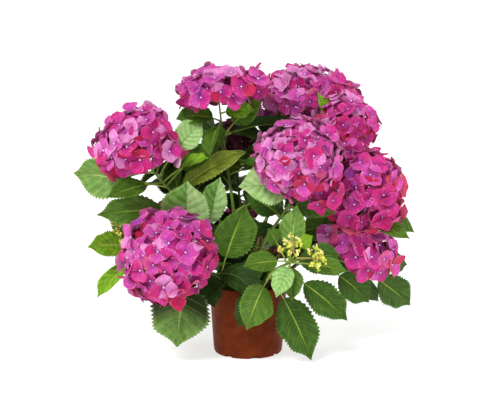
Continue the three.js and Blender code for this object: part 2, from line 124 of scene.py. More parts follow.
class Dice:
    """Random numbers that are the same in every run, thrown as the part's source throws them."""

    FACTOR = 16807
    MODULUS = 2147483647

    def __init__(self, seed: Seed, shoot: int = 0) -> None:
        """Starts from a seed, moved on by the number of a shoot."""
        self.state = seed.value + shoot

    def roll(self) -> float:
        """The next number from 0 to 1."""
        self.state = (self.state * self.FACTOR) % self.MODULUS
        return self.state / self.MODULUS

    def between(self, low: float, high: float) -> float:
        """The next number from low to high."""
        return low + (high - low) * self.roll()

    def pick(self, weights: dict) -> object:
        """One of the keys of a table, as often as its weight says."""
        mark = self.roll() * sum(weights.values())
        for key, weight in weights.items():
            mark -= weight
            if mark <= 0:
                return key
        return next(iter(weights))


class Line:
    """A Bezier curve that is walked by its length."""

    DIVISIONS = 200
    NUDGE = 1e-4

    def __init__(self, *controls: np.ndarray) -> None:
        """Takes three or four control points."""
        self.controls = np.array(controls, float)
        self.steps = np.linspace(0.0, 1.0, self.DIVISIONS + 1)
        samples = self._at(self.steps)
        lengths = np.linalg.norm(np.diff(samples, axis=0), axis=1)
        self.walked = np.concatenate(([0.0], np.cumsum(lengths)))
        self.length = float(self.walked[-1])

    def _at(self, steps: np.ndarray) -> np.ndarray:
        """Points at steps of the curve's own parameter."""
        points = [np.broadcast_to(c, (*np.shape(steps), 3)) for c in self.controls]
        share = np.asarray(steps, float)[..., None]
        while len(points) > 1:
            points = [a + (b - a) * share for a, b in zip(points, points[1:])]
        return points[0]

    def _step(self, share: np.ndarray) -> np.ndarray:
        """The curve's own parameter at a share of its length."""
        return np.interp(np.asarray(share, float) * self.length, self.walked, self.steps)

    def point(self, share: np.ndarray) -> np.ndarray:
        """The points at shares of the length."""
        return self._at(self._step(share))

    def tangent(self, share: np.ndarray) -> np.ndarray:
        """The unit tangents at shares of the length."""
        step = self._step(share)
        ahead = np.minimum(step + self.NUDGE, 1.0)
        behind = np.maximum(step - self.NUDGE, 0.0)
        return unit(self._at(ahead) - self._at(behind))


# ---------------------------------------------------------------- joined meshes


Piece = tuple[np.ndarray, np.ndarray, np.ndarray]


@dataclass
class Sprays:
    """Many small pieces of one finish, gathered into one joined mesh."""

    name: str
    points: list[np.ndarray] = field(default_factory=list)
    faces: list[np.ndarray] = field(default_factory=list)
    places: list[np.ndarray] = field(default_factory=list)
    count: int = 0

    def add(self, points: np.ndarray, faces: np.ndarray, places: np.ndarray) -> None:
        """Adds one piece.

        Args:
            points: its corners in millimetres.
            faces: the corners of its triangles.
            places: the place in the finish's pattern of each corner of each triangle.
        """
        self.points.append(points)
        self.faces.append(faces + self.count)
        self.places.append(places)
        self.count += len(points)

    def finish(self, material: bpy.types.Material) -> bpy.types.Object:
        """Makes the mesh with its finish, as an object in metres at the origin."""
        corners = np.concatenate(self.points) * MM
        faces = np.concatenate(self.faces)
        places = np.concatenate(self.places)
        mesh = bpy.data.meshes.new(self.name)
        mesh.vertices.add(len(corners))
        mesh.vertices.foreach_set("co", corners.astype(np.float32).ravel())
        mesh.loops.add(faces.size)
        mesh.loops.foreach_set("vertex_index", faces.astype(np.int32).ravel())
        mesh.polygons.add(len(faces))
        mesh.polygons.foreach_set("loop_start", np.arange(0, faces.size, 3, dtype=np.int32))
        mesh.polygons.foreach_set("use_smooth", np.ones(len(faces), bool))
        mesh.update(calc_edges=True)
        layer = mesh.uv_layers.new(name=UV_NAME)
        layer.data.foreach_set("uv", places.astype(np.float32).ravel())
        mesh.set_sharp_from_angle(angle=math.radians(SHARP))
        mesh.materials.append(material)
        piece = bpy.data.objects.new(self.name, mesh)
        bpy.context.scene.collection.objects.link(piece)
        return piece


class LeafGrid:
    """The corners and triangles of a closed, thin blade, whose upper and lower faces share their margin."""

    MARGIN = 0.24

    def __init__(self, rows: int, columns: int) -> None:
        """Plans a blade.

        Args:
            rows: steps from its foot to its tip.
            columns: steps from its midrib to each margin.
        """
        self.rows = rows
        self.across = np.linspace(-1.0, 1.0, 2 * columns + 1)
        self.along = np.linspace(0.0, 1.0, rows + 1)[1:-1]
        wide = len(self.across)
        inner = (rows - 1) * wide
        self.foot, self.tip = inner, inner + 1
        upper = np.arange(inner).reshape(rows - 1, wide)
        lower = upper.copy()
        lower[:, 1:-1] = inner + 2 + np.arange((rows - 1) * (wide - 2)).reshape(rows - 1, -1)
        top, top_places = self._side(upper, 0.25)
        below, below_places = self._side(lower, 0.75)
        self.faces = np.concatenate((top, below[:, ::-1]))
        places = np.concatenate((top_places, below_places[:, ::-1]))
        self.cells = [self._in_cell(places, cell) for cell in range(CELLS)]

    @staticmethod
    def _in_cell(places: np.ndarray, cell: int) -> np.ndarray:
        """The places moved to one of the bands of the pattern map, clear of its edges."""
        return np.stack((places[..., 0], (cell + 0.01 + 0.98 * places[..., 1]) / CELLS), axis=-1)

    def any_cell(self, dice: Dice) -> np.ndarray:
        """The places in a band picked by the dice."""
        return self.cells[int(dice.roll() * CELLS) % CELLS]

    def _side(self, index: np.ndarray, middle: float) -> tuple[np.ndarray, np.ndarray]:
        """One face of the blade: its triangles, and their places about a middle line of the pattern."""
        wide = len(self.across)
        place = np.empty((*index.shape, 2))
        place[..., 0] = middle + self.MARGIN * self.across
        place[..., 1] = self.along[:, None]
        ends = np.array(((middle, 0.0), (middle, 1.0)))
        faces, places = [], []
        for j in range(wide - 1):
            faces.append((self.foot, index[0, j + 1], index[0, j]))
            places.append((ends[0], place[0, j + 1], place[0, j]))
            faces.append((self.tip, index[-1, j], index[-1, j + 1]))
            places.append((ends[1], place[-1, j], place[-1, j + 1]))
            for i in range(self.rows - 2):
                a, b, c, d = (i, j), (i, j + 1), (i + 1, j + 1), (i + 1, j)
                halves = ((a, b, c), (a, c, d)) if j < (wide - 1) // 2 else ((a, b, d), (b, c, d))
                for half in halves:
                    faces.append([index[k] for k in half])
                    places.append([place[k] for k in half])
        return np.array(faces), np.array(places, float)

    def corners(self, surface: np.ndarray, ends: np.ndarray, down: np.ndarray) -> np.ndarray:
        """The blade's corners, in the order that the triangles use.

        Args:
            surface: points of the upper face, rows by columns.
            ends: the foot and the tip.
            down: from each point of the upper face to the lower one.

        Returns:
            All corners, one to a row.
        """
        lower = (surface + down)[:, 1:-1]
        return np.concatenate((surface.reshape(-1, 3), ends, lower.reshape(-1, 3)))


def tube(
    line: Line, start: float, end: float, radius: Callable[[np.ndarray], np.ndarray], sides: int, steps: int
) -> Piece:
    """A closed rod along part of a line.

    Args:
        line: the line that it follows.
        start: the share of the line's length where it starts.
        end: the share where it ends.
        radius: gives its radius at shares of the rod, each with its turns round it.
        sides: its number of sides.
        steps: its number of steps.

    Returns:
        Its corners, its triangles and their places in a pattern that runs round it and along it.
    """
    share = np.linspace(0.0, 1.0, steps + 1)
    spots = line.point(start + (end - start) * share)
    tangents = line.tangent(start + (end - start) * share)
    level = np.cross(line.point(1.0) - line.point(0.0), UP)
    if np.linalg.norm(level) < 1e-3:
        level = np.array((1.0, 0.0, 0.0))
    across = square_to(np.broadcast_to(level, tangents.shape), tangents)
    other = np.cross(across, tangents)
    turn = np.linspace(0.0, 2 * math.pi, sides, endpoint=False)
    reach = radius(share[:, None] + 0 * turn[None, :])
    ring = across[:, None, :] * np.cos(turn)[None, :, None] + other[:, None, :] * np.sin(turn)[None, :, None]
    points = spots[:, None, :] + ring * reach[..., None]
    points = np.concatenate((points.reshape(-1, 3), spots[:1], spots[-1:]))
    faces, places = [], []
    foot, top = (steps + 1) * sides, (steps + 1) * sides + 1
    for j in range(sides):
        k = (j + 1) % sides
        left, right = j / sides, (j + 1) / sides
        for i in range(steps):
            a, b, c, d = i * sides + j, i * sides + k, (i + 1) * sides + k, (i + 1) * sides + j
            low, high = share[i], share[i + 1]
            faces += [(a, c, b), (a, d, c)]
            places += [((left, low), (right, high), (right, low)), ((left, low), (left, high), (right, high))]
        faces += [(foot, j, k), (top, steps * sides + k, steps * sides + j)]
        places += [((left, 0), (left, 0), (right, 0)), ((right, 1), (right, 1), (left, 1))]
    return points, np.array(faces), np.array(places, float)


def tapering(first: float, last: float) -> Callable[[np.ndarray], np.ndarray]:
    """A radius that changes evenly along a rod."""
    return lambda share: first + (last - first) * share


def bead() -> Piece:
    """The corners, triangles and places of a faceted ball of radius 1."""
    golden = (1 + math.sqrt(5)) / 2
    corners = [(0, a, b * golden) for a in (-1, 1) for b in (-1, 1)]
    corners += [(z, x, y) for x, y, z in corners] + [(y, z, x) for x, y, z in corners]
    corners = np.array(corners, float) / math.hypot(1, golden)
    faces = []
    near = 2 / math.hypot(1, golden) + 1e-6
    for i in range(12):
        for j in range(i + 1, 12):
            for k in range(j + 1, 12):
                trio = corners[[i, j, k]]
                if all(np.linalg.norm(trio[m] - trio[m - 1]) < near for m in range(3)):
                    outward = np.dot(np.cross(trio[1] - trio[0], trio[2] - trio[0]), trio[0]) > 0
                    faces.append((i, j, k) if outward else (i, k, j))
    faces = np.array(faces)
    return corners, faces, 0.5 + 0.5 * corners[faces][..., :2]


BEAD = bead()


# ---------------------------------------------------------------- finishes


def linear(colour: int) -> tuple[float, float, float, float]:
    """An sRGB hex colour as linear values with full alpha."""
    channels = [((colour >> shift) & 255) / 255 for shift in (16, 8, 0)]
    return (*(c / 12.92 if c <= 0.04045 else ((c + 0.055) / 1.055) ** 2.4 for c in channels), 1.0)


class Step(Enum):
    """The steps of a pattern: a node's type, its settings, the inputs that take values, and its output."""

    ADD = ("ShaderNodeMath", {"operation": "ADD"}, (0, 1), 0)
    ADD_TO_ONE = ("ShaderNodeMath", {"operation": "ADD", "use_clamp": True}, (0, 1), 0)
    SUBTRACT = ("ShaderNodeMath", {"operation": "SUBTRACT"}, (0, 1), 0)
    MULTIPLY = ("ShaderNodeMath", {"operation": "MULTIPLY"}, (0, 1), 0)
    LARGER = ("ShaderNodeMath", {"operation": "MAXIMUM"}, (0, 1), 0)
    PAST = ("ShaderNodeMath", {"operation": "GREATER_THAN"}, (0, 1), 0)
    PLAIN_SIZE = ("ShaderNodeMath", {"operation": "ABSOLUTE"}, (0,), 0)
    FRACTION = ("ShaderNodeMath", {"operation": "FRACT"}, (0,), 0)
    WHOLE = ("ShaderNodeMath", {"operation": "FLOOR"}, (0,), 0)
    SINE = ("ShaderNodeMath", {"operation": "SINE"}, (0,), 0)
    RISE = ("ShaderNodeMapRange", {"interpolation_type": "SMOOTHSTEP"}, ("Value", "From Min", "From Max"), 0)
    FALL = (
        "ShaderNodeMapRange", {"interpolation_type": "SMOOTHSTEP", "To Min": 1.0, "To Max": 0.0},
        ("Value", "From Min", "From Max"), 0,
    )
    BLEND = ("ShaderNodeMix", {"data_type": "RGBA"}, (0, 6, 7), 2)
    STRETCH = ("ShaderNodeVectorMath", {"operation": "MULTIPLY"}, (0, 1), 0)
    NOISE = ("ShaderNodeTexNoise", {}, ("Vector", "Scale", "Detail"), 0)
    NET = ("ShaderNodeTexVoronoi", {"feature": "DISTANCE_TO_EDGE", "Scale": 1.0}, ("Vector",), 0)
    OWN_MAP = ("ShaderNodeUVMap", {"uv_map": UV_NAME}, (), 0)
    OBJECT_PLACE = ("ShaderNodeTexCoord", {}, (), "Object")
    ACROSS = ("ShaderNodeSeparateXYZ", {}, (0,), 0)
    UP = ("ShaderNodeSeparateXYZ", {}, (0,), 1)
    RELIEF = ("ShaderNodeBump", {"Strength": 1.0}, ("Height", "Distance"), 0)


class Pattern:
    """A material's node tree with its shader, and the way that steps are added to it."""

    TO_MARGIN = 2.08
    SHUFFLE = 0.618

    def __init__(self, name: str, roughness: float, specular: float, sheen: float = 0.0) -> None:
        """Starts a material.

        Args:
            name: its name.
            roughness: its roughness.
            specular: the strength of its reflection.
            sheen: how much light its down or fine fibres catch.
        """
        self.material = bpy.data.materials.new(name)
        self.material.use_nodes = True
        self.tree = self.material.node_tree
        self.inputs = self.tree.nodes["Principled BSDF"].inputs
        self.set({"Roughness": roughness, "Specular IOR Level": specular, "Sheen Weight": sheen})

    def set(self, values: dict[str, object]) -> None:
        """Gives inputs of the shader, by their names, what they take."""
        for name, value in values.items():
            self.fill(self.inputs[name], value)

    def fill(self, socket: bpy.types.NodeSocket, value: object) -> None:
        """Gives an input what it takes: another node's output, a hex colour or a plain value."""
        if isinstance(value, bpy.types.NodeSocket):
            self.tree.links.new(value, socket)
        else:
            socket.default_value = linear(value) if socket.type == "RGBA" else value

    def add(self, step: Step, *values: object) -> bpy.types.NodeSocket:
        """Adds a node with its settings and links.

        Args:
            step: what the node does.
            values: what its inputs take, in the step's order.

        Returns:
            The node's output.
        """
        kind, settings, inputs, output = step.value
        node = self.tree.nodes.new(kind)
        for name, value in settings.items():
            if hasattr(node, name):
                setattr(node, name, value)
            else:
                node.inputs[name].default_value = value
        for place, value in zip(inputs, values, strict=True):
            self.fill(node.inputs[place], value)
        return node.outputs[output]

    def blade(self) -> tuple[bpy.types.NodeSocket, ...]:
        """A blade's map, which holds its upper and lower faces side by side in a few bands.

        Returns:
            The whole place stretched to even units, 1 on the lower face, the distance across from the midrib,
            signed and from 0 to 1, the share along the blade, and a random value for the band.
        """
        place = self.add(Step.OWN_MAP)
        across = self.add(Step.ACROSS, place)
        offset = self.add(Step.SUBTRACT, self.add(Step.FRACTION, self.add(Step.MULTIPLY, across, 2.0)), 0.5)
        side = self.add(Step.MULTIPLY, self.add(Step.PLAIN_SIZE, offset), self.TO_MARGIN)
        bands = self.add(Step.MULTIPLY, self.add(Step.UP, place), float(CELLS))
        band = self.add(Step.FRACTION, self.add(Step.MULTIPLY, self.add(Step.WHOLE, bands), self.SHUFFLE))
        even = self.add(Step.STRETCH, place, (2.0, CELLS, 1.0))
        return even, self.add(Step.PAST, across, 0.5), offset, side, self.add(Step.FRACTION, bands), band

    def done(self, colour: object, height: bpy.types.NodeSocket, depth: float) -> bpy.types.Material:
        """Ends the material.

        Args:
            colour: its base colour, an output or a hex value.
            height: how high its surface stands, from 0 to 1.
            depth: how much that is in metres.

        Returns:
            The finished material.
        """
        self.set({"Normal": self.add(Step.RELIEF, height, depth), "Base Color": colour})
        return self.material


@dataclass(frozen=True)
class LeafFinish:
    """A living leaf: a waxy upper face over sunken veins, and a paler, duller face below."""

    name: str
    blade: int
    light: int
    vein: int
    margin: int
    under: int
    gloss: float = 0.4
    # The darker colour of a painted shaded half, and of a painted shadow towards the base, on the tones that
    # have them.
    painted_dark_half: int = 0
    painted_shadow: int = 0

    def material(self) -> bpy.types.Material:
        """Builds the finish, with a painted shaded half on a sheen-lit leaf and a painted shadow towards the
        base of another.
        """
        # Leaf cuticle: satin wax, with light veins every 12 mm or so and a net of about 2 mm between them.
        pattern = Pattern(self.name, self.gloss, 0.26)
        add = pattern.add
        place, below, offset, side, along, band = pattern.blade()
        beat = add(Step.FRACTION, add(Step.ADD, add(Step.MULTIPLY, along, float(VEINS)), 0.5))
        from_vein = add(Step.PLAIN_SIZE, add(Step.SUBTRACT, beat, 0.5))
        lateral = add(Step.MULTIPLY, add(Step.FALL, from_vein, 0.01, 0.07), add(Step.FALL, side, 0.35, 1.0))
        vein = add(Step.LARGER, add(Step.FALL, side, 0.015, 0.05), add(Step.MULTIPLY, lateral, 0.34))
        mottle = add(Step.NOISE, add(Step.STRETCH, place, (7.0, 7.0, 1.0)), 1.0, 4.0)
        fine = add(Step.FALL, add(Step.NET, add(Step.STRETCH, place, (44.0, 44.0, 1.0))), 0.0, 0.14)
        shift = add(Step.MULTIPLY, add(Step.SUBTRACT, band, 0.4), 0.6)
        patch = add(Step.MULTIPLY, add(Step.ADD, add(Step.RISE, mottle, 0.33, 0.7), shift), 0.65)
        # Painted light: the bulges between the veins are lighter and the sunken veins darker, a painted
        # shading of the quilt.
        pillow = add(Step.MULTIPLY, add(Step.RISE, from_vein, 0.05, 0.42), 0.45)
        lightness = add(Step.ADD_TO_ONE, add(Step.ADD, patch, pillow), add(Step.MULTIPLY, fine, 0.15))
        blade = add(Step.BLEND, lightness, self.blade, self.light)
        # Painted light: one half of the blade is darker, as painted shade beside the painted sheen of the
        # other half.
        if self.painted_dark_half:
            half = add(Step.BLEND, lightness, self.painted_dark_half, self.blade)
            blade = add(Step.BLEND, add(Step.RISE, offset, -0.02, 0.03), blade, half)
        # Painted shadow: the blade darkens towards its base, as if a head above shades it.
        if self.painted_shadow:
            blade = add(Step.BLEND, add(Step.RISE, along, 0.34, 0.56), self.painted_shadow, blade)
        blade = add(Step.BLEND, add(Step.MULTIPLY, add(Step.RISE, side, 0.84, 1.0), 0.5), blade, self.margin)
        upper = add(Step.BLEND, add(Step.MULTIPLY, vein, 0.9), blade, self.vein)
        under = add(Step.BLEND, add(Step.MULTIPLY, vein, 0.6), self.under, self.vein)
        quilt = add(Step.SUBTRACT, add(Step.RISE, from_vein, 0.0, 0.3), add(Step.MULTIPLY, fine, 0.35))
        return pattern.done(add(Step.BLEND, below, upper, under), quilt, 0.0007)


@dataclass(frozen=True)
class PetalFinish:
    """A sepal: thin and matt, with a coloured heart, fine veins, painted sheen in pale patches, a painted
    highlight along the edge and a rim of its own tint.
    """

    name: str
    heart: int
    face: int
    rim: int
    under: int
    # The pale colour of the painted sheen and of the painted edge highlight.
    painted_sheen: int

    # A pale pink for the painted highlight along the margin.
    EDGE_HIGHLIGHT = 0xFFE0F2

    def material(self) -> bpy.types.Material:
        """Builds the sepal's finish on its own map."""
        # Sepal skin: matt, downy cells that catch light at the edge, a painted highlight along the margin,
        # and veins 1 mm apart that fan out.
        pattern = Pattern(self.name, 0.6, 0.2, 0.1)
        add = pattern.add
        place, below, offset, side, along, band = pattern.blade()
        wander = add(Step.NOISE, add(Step.STRETCH, place, (3.2, 3.2, 1.0)), 1.0, 4.0)
        fan = add(Step.ADD, add(Step.MULTIPLY, offset, 62.0), add(Step.MULTIPLY, wander, 6.0))
        veins = add(Step.RISE, add(Step.SINE, fan), 0.4, 1.0)
        # Painted sheen: pale patches at random, standing for light caught on the sepal.
        sheen_patches = add(Step.ADD, add(Step.RISE, wander, 0.46, 0.66), add(Step.MULTIPLY, band, 0.25))
        face = add(Step.BLEND, add(Step.MULTIPLY, sheen_patches, 0.36), self.face, self.painted_sheen)
        face = add(Step.BLEND, add(Step.MULTIPLY, add(Step.FALL, along, 0.05, 0.62), 0.75), face, self.heart)
        face = add(Step.BLEND, add(Step.MULTIPLY, veins, 0.2), face, self.heart)
        edge = add(Step.LARGER, add(Step.RISE, side, 0.66, 1.0), add(Step.RISE, along, 0.82, 1.0))
        rim = add(Step.MULTIPLY, edge, add(Step.ADD, 0.35, add(Step.MULTIPLY, band, 0.6)))
        face = add(Step.BLEND, rim, face, self.rim)
        # Painted highlight: a pale line along the margin where the sepal curls into the light.
        painted_edge_highlight = add(Step.MULTIPLY, add(Step.RISE, side, 0.8, 0.94), add(Step.RISE, wander, 0.38, 0.6))
        pale = add(Step.BLEND, 0.3, self.painted_sheen, self.EDGE_HIGHLIGHT)
        face = add(Step.BLEND, add(Step.MULTIPLY, painted_edge_highlight, 0.55), face, pale)
        return pattern.done(add(Step.BLEND, below, face, self.under), add(Step.SUBTRACT, 1.0, veins), 0.00025)


@dataclass(frozen=True)
class GrainFinish:
    """A dry or ribbed skin in two colours, low and high in its grain of fibres, flakes or crumbs."""

    name: str
    low: int
    high: int
    roughness: float
    specular: float
    stretch: tuple[float, float, float] | None
    scale: float
    detail: float
    edges: tuple[float, float]
    depth: float

    def material(self) -> bpy.types.Material:
        """Builds the finish on the piece's own map where its grain is stretched, and else on its place."""
        pattern = Pattern(self.name, self.roughness, self.specular)
        if self.stretch:
            place = pattern.add(Step.STRETCH, pattern.add(Step.OWN_MAP), self.stretch)
        else:
            place = pattern.add(Step.OBJECT_PLACE)
        grain = pattern.add(Step.NOISE, place, self.scale, self.detail)
        share = pattern.add(Step.RISE, grain, *self.edges)
        return pattern.done(pattern.add(Step.BLEND, share, self.low, self.high), grain, self.depth)


@dataclass(frozen=True)
class PotFinish:
    """Injection-moulded polypropylene: a satin terracotta red, a little scuffed."""

    name: str = "polypropylene_terracotta"
    body: int = 0x6E2E12
    dark: int = 0x5A2410

    def material(self) -> bpy.types.Material:
        """Builds the plastic's finish on the object's own place."""
        # Polypropylene: satin with soft, wide reflections and a barely mottled skin of 4 mm swirls.
        pattern = Pattern(self.name, 0.38, 0.03)
        add = pattern.add
        place = add(Step.OBJECT_PLACE)
        swirl = add(Step.RISE, add(Step.NOISE, place, 60.0, 2.0), 0.3, 0.8)
        scuff = add(Step.NOISE, add(Step.STRETCH, place, (90.0, 90.0, 700.0)), 1.0, 4.0)
        rough = add(Step.ADD, add(Step.MULTIPLY, scuff, 0.25), 0.26)
        pattern.set({"Roughness": rough})
        skin = add(Step.NOISE, place, 1400.0, 2.0)
        return pattern.done(add(Step.BLEND, swirl, self.dark, self.body), skin, 0.00008)


@dataclass(frozen=True)
class PlainFinish:
    """A small plant part of one colour with a finely uneven skin."""

    name: str
    body: int
    roughness: float

    def material(self) -> bpy.types.Material:
        """Builds the finish, one colour over a fine grain."""
        # Tender plant skin: soft satin with a grain of about 0.5 mm.
        pattern = Pattern(self.name, self.roughness, 0.4, 0.1)
        grain = pattern.add(Step.NOISE, pattern.add(Step.OBJECT_PLACE), 1800.0, 2.0)
        return pattern.done(self.body, grain, 0.0002)


class Tone(Enum):
    """The greens of the leaves."""

    LIME = LeafFinish("leaf_lime", 0x5C9814, 0x96C830, 0xCEE06A, 0xACD03E, 0x8DAE50)
    FRESH = LeafFinish("leaf_fresh", 0x385C0E, 0x5C8222, 0xACC448, 0x6A982A, 0x76944C)
    # MINT is painted sheen: a pale grey-green that stands for the light caught on glossy leaves.
    MINT = LeafFinish("leaf_mint", 0x86BA5A, 0xBCE094, 0x5E9238, 0xA2D07A, 0x9CC478, 0.34)
    # Painted shadow: a grey-green leaf darkened towards its base where a head above would shade it.
    PAINTED_SHADOW_BASE = LeafFinish(
        "leaf_painted_shadow_base", 0x4C7226, 0x789C4A, 0xA8C474, 0x8AA85C, 0x94B070, painted_shadow=0x2A3C12
    )
    # Painted light: a pale, sheen-lit green with one half of the blade darkened as painted shade.
    PAINTED_SHEEN_HALF = LeafFinish(
        "leaf_painted_sheen_half", 0x8CBE5E, 0xC0E49A, 0x66963E, 0xA8D480, 0x9CC478, 0.34, painted_dark_half=0x4E8022
    )
    OLIVE = LeafFinish("leaf_olive", 0x5C7014, 0x88982C, 0xD8DC5A, 0x9CA83A, 0x808C3C)
    DEEP = LeafFinish("leaf_deep", 0x2A4A0A, 0x466E14, 0xA0B840, 0x527E1E, 0x587636)
    # SAGE is a grey-green of its own, paled in part as painted sheen for leaves that face the light.
    SAGE = LeafFinish("leaf_sage", 0x56822C, 0x86AC52, 0xBCD480, 0x86AC52, 0x7C985A, 0.36)
    # SHADE is painted shade: a green darkened to stand for leaves in shade deep in the crown.
    SHADE = LeafFinish("leaf_shade", 0x1E360A, 0x335012, 0x607A2E, 0x304E14, 0x3C5624)


class Petal(Enum):
    """The colours of the sepals."""

    MAGENTA = PetalFinish("sepal_magenta", 0xA01E8C, 0xC41E80, 0xD22C66, 0xD070A8, 0xD264AC)
    ORCHID = PetalFinish("sepal_orchid", 0xA830A0, 0xC63A9C, 0xE46E9E, 0xD88CC0, 0xDA84C4)
    BLUSH = PetalFinish("sepal_blush", 0xC05CB0, 0xD878BC, 0xE490B6, 0xE8B2D2, 0xECBCDC)
    CERISE = PetalFinish("sepal_cerise", 0xA0147E, 0xC2146C, 0xCE2A50, 0xCC5A92, 0xCC4A9C)
    CRIMSON = PetalFinish("sepal_crimson", 0x9C1058, 0xBA1048, 0xC8242E, 0xBC4464, 0xC83A70)
    VIOLET = PetalFinish("sepal_violet", 0x7E2094, 0xA22C98, 0xBC3A86, 0xB066AE, 0xB86ABC)
    FLUSHED = PetalFinish("sepal_flushed", 0xB02E90, 0xCA3E80, 0xDA7A40, 0xD08A72, 0xDA889C)
    # Painted shade: a dark wine red for the sunken florets, standing for the shade between the outer ones.
    INNER_PAINTED_SHADE = PetalFinish("sepal_inner_painted_shade", 0x5E0A48, 0x860E50, 0x94203E, 0x7E2A56, 0x8C2A68)
    # SHADED is painted shade: sepals darkened for a head deep in the crown's shade.
    SHADED = PetalFinish("sepal_shaded", 0x440C26, 0x621434, 0x7E223C, 0x64283A, 0x7A2A48)


# Young bark: satin skin, with fibres about 0.5 mm wide that run along it.
YOUNG_BARK = (0.5, 0.4, (14.0, 3.0, 1.0), 1.0, 3.0, (0.4, 0.7), 0.0005)


class Skin(Enum):
    """The skins of canes, stems and leaf stalks, and the compost."""

    # Papery bark: rough and dry, with cracks 1 to 2 mm apart along the cane and raised pores.
    BARK = GrainFinish(
        "hydrangea_bark", 0x3E2E1C, 0x8A7448, 0.85, 0.2, (12.0, 9.0, 1.0), 1.2, 5.0, (0.42, 0.6), 0.0012
    )
    STEM = GrainFinish("green_stem", 0x5E7A2C, 0x86A048, *YOUNG_BARK)
    STALK = GrainFinish("leaf_stalk", 0x7C9A34, 0xB4C65A, *YOUNG_BARK)
    # Moist peat: no gloss, with crumbs of 1 to 3 mm.
    PEAT = GrainFinish("peat_compost", 0x1D130C, 0x4A3524, 0.95, 0.15, None, 420.0, 6.0, (0.45, 0.72), 0.002)


class Tender(Enum):
    """The colours of the tight buds, and of the small stalks and beads in the blossom."""

    LIME = PlainFinish("bud_lime", 0xBCCA3A, 0.45)
    YELLOW = PlainFinish("bud_yellow", 0xE4DC5A, 0.45)
    CREAM = PlainFinish("bud_cream", 0xF0E4A0, 0.45)
    ROSE = PlainFinish("bud_rose", 0xE2B090, 0.45)
    BRANCH = PlainFinish("bud_branch", 0xB49A4E, 0.5)
    BEAD = PlainFinish("floret_bead", 0xE9E4F2, 0.4)
    STALK = PlainFinish("floret_stalk", 0x9AA860, 0.5)


# ---------------------------------------------------------------- the plant's plan


@dataclass(frozen=True)
class Lobe:
    """A loose cluster that hangs out of a flower head: where it is, how it faces, its size and colours."""

    centre: tuple[float, float, float]
    axis: tuple[float, float, float]
    radius: float
    mix: dict


@dataclass(frozen=True)
class Head:
    """A flower head: a dome of florets about an axis, with its lobes and a side that leaves keep bare."""

    centre: tuple[float, float, float]
    axis: tuple[float, float, float]
    radius: float
    flatness: float
    floret: float
    mix: dict
    cover: float = 1.0
    bare: tuple[float, float, float] = (0, 0, 0)
    lobes: tuple[Lobe, ...] = ()


@dataclass(frozen=True)
class Tip:
    """The end of a shoot with no open flowers: where it is and the way it points."""

    neck: tuple[float, float, float]
    axis: tuple[float, float, float]
    budded: bool = True


@dataclass(frozen=True)
class Leaf:
    """A leaf: its place on the shoot, the way it points, its sizes, and its green."""

    at: float
    heading: float
    pitch: float
    petiole: float
    length: float
    breadth: float
    droop: float
    roll: float
    tone: Tone = Tone.DEEP

    def turned(self, turn: float, lift: float) -> "Leaf":
        """The same leaf with another heading and pitch."""
        return replace(self, heading=self.heading + turn, pitch=self.pitch + lift)


@dataclass
class Shoot:
    """A cane with its green stem, what it carries and its leaves."""

    name: str
    foot: tuple[float, float]
    end: Head | Tip
    leaves: list[Leaf]
    young: list[Leaf] = field(default_factory=list)
    line: Line | None = None

    RISE = 0.45
    SPREAD = 0.5
    REACH = 0.35
    NECK = 0.45

    @property
    def flowers(self) -> bool:
        """True where the shoot carries an open head."""
        return isinstance(self.end, Head)

    @property
    def axis(self) -> np.ndarray:
        """The way that the shoot's end points."""
        return unit(np.array(self.end.axis, float))

    @property
    def neck(self) -> np.ndarray:
        """Where the shoot ends."""
        if isinstance(self.end, Tip):
            return np.array(self.end.neck, float)
        below = self.end.radius * self.end.flatness * self.NECK
        return np.array(self.end.centre, float) - self.axis * below

    def grow(self, ground: float) -> None:
        """Draws the shoot's line from the compost to its neck."""
        foot = direction(self.foot[0], 0) * self.foot[1]
        foot[2] = ground
        span = float(np.linalg.norm(self.neck - foot))
        leave = foot + np.array((foot[0] * self.SPREAD, foot[1] * self.SPREAD, self.RISE * span))
        self.line = Line(foot, leave, self.neck - self.axis * self.REACH * span, self.neck)


def inside(shoot: Shoot, spot: np.ndarray) -> bool:
    """True where a place lies well within the dome of a shoot's head."""
    away = spot - np.array(shoot.end.centre)
    along = float(away @ shoot.axis)
    level = np.linalg.norm(away - along * shoot.axis)
    return math.hypot(level, along / shoot.end.flatness) < shoot.end.radius * HEAD_CORE


@dataclass(frozen=True)
class Opening:
    """A place where the crown is open from the front to a depth, along the slope of its boughs."""

    x: float
    z: float
    radius: float
    back: float = 1000

    SLOPE = 0.167

    def holds(self, spots: np.ndarray, spare: float) -> bool:
        """True where any of some places is in the opening or within a spare width of it."""
        level = spots[:, 0] - self.x
        rise = spots[:, 2] - self.z + self.SLOPE * spots[:, 1]
        return bool(np.any((np.hypot(level, rise) < self.radius + spare) & (spots[:, 1] < self.back)))


OPENINGS = (
    Opening(-9, 345, 8), Opening(-24, 287, 14), Opening(29, 243, 13), Opening(64, 230, 6),
    Opening(-126, 372, 7), Opening(-46, 450, 8), Opening(8, 428, 6), Opening(-7, 406, 20, 60),
)

MIX_ROSE = {
    Petal.MAGENTA: 7, Petal.ORCHID: 6, Petal.CERISE: 4.5, Petal.CRIMSON: 2.2, Petal.BLUSH: 1.3,
    Petal.FLUSHED: 0.6, Petal.VIOLET: 0.4,
}
MIX_PALE = {
    Petal.ORCHID: 7, Petal.BLUSH: 2.6, Petal.MAGENTA: 4, Petal.CERISE: 2, Petal.CRIMSON: 0.8,
    Petal.FLUSHED: 0.6,
}
MIX_DEEP = {Petal.MAGENTA: 7, Petal.CERISE: 7, Petal.ORCHID: 2.5, Petal.CRIMSON: 2.6, Petal.VIOLET: 0.4}
# A head deep behind the others takes painted shade.
MIX_SHADED = {Petal.SHADED: 1}
# Painted shade for the sunken florets under the outer ones.
MIX_INNER_PAINTED_SHADE = {Petal.INNER_PAINTED_SHADE: 6, Petal.CERISE: 1, Petal.MAGENTA: 1}

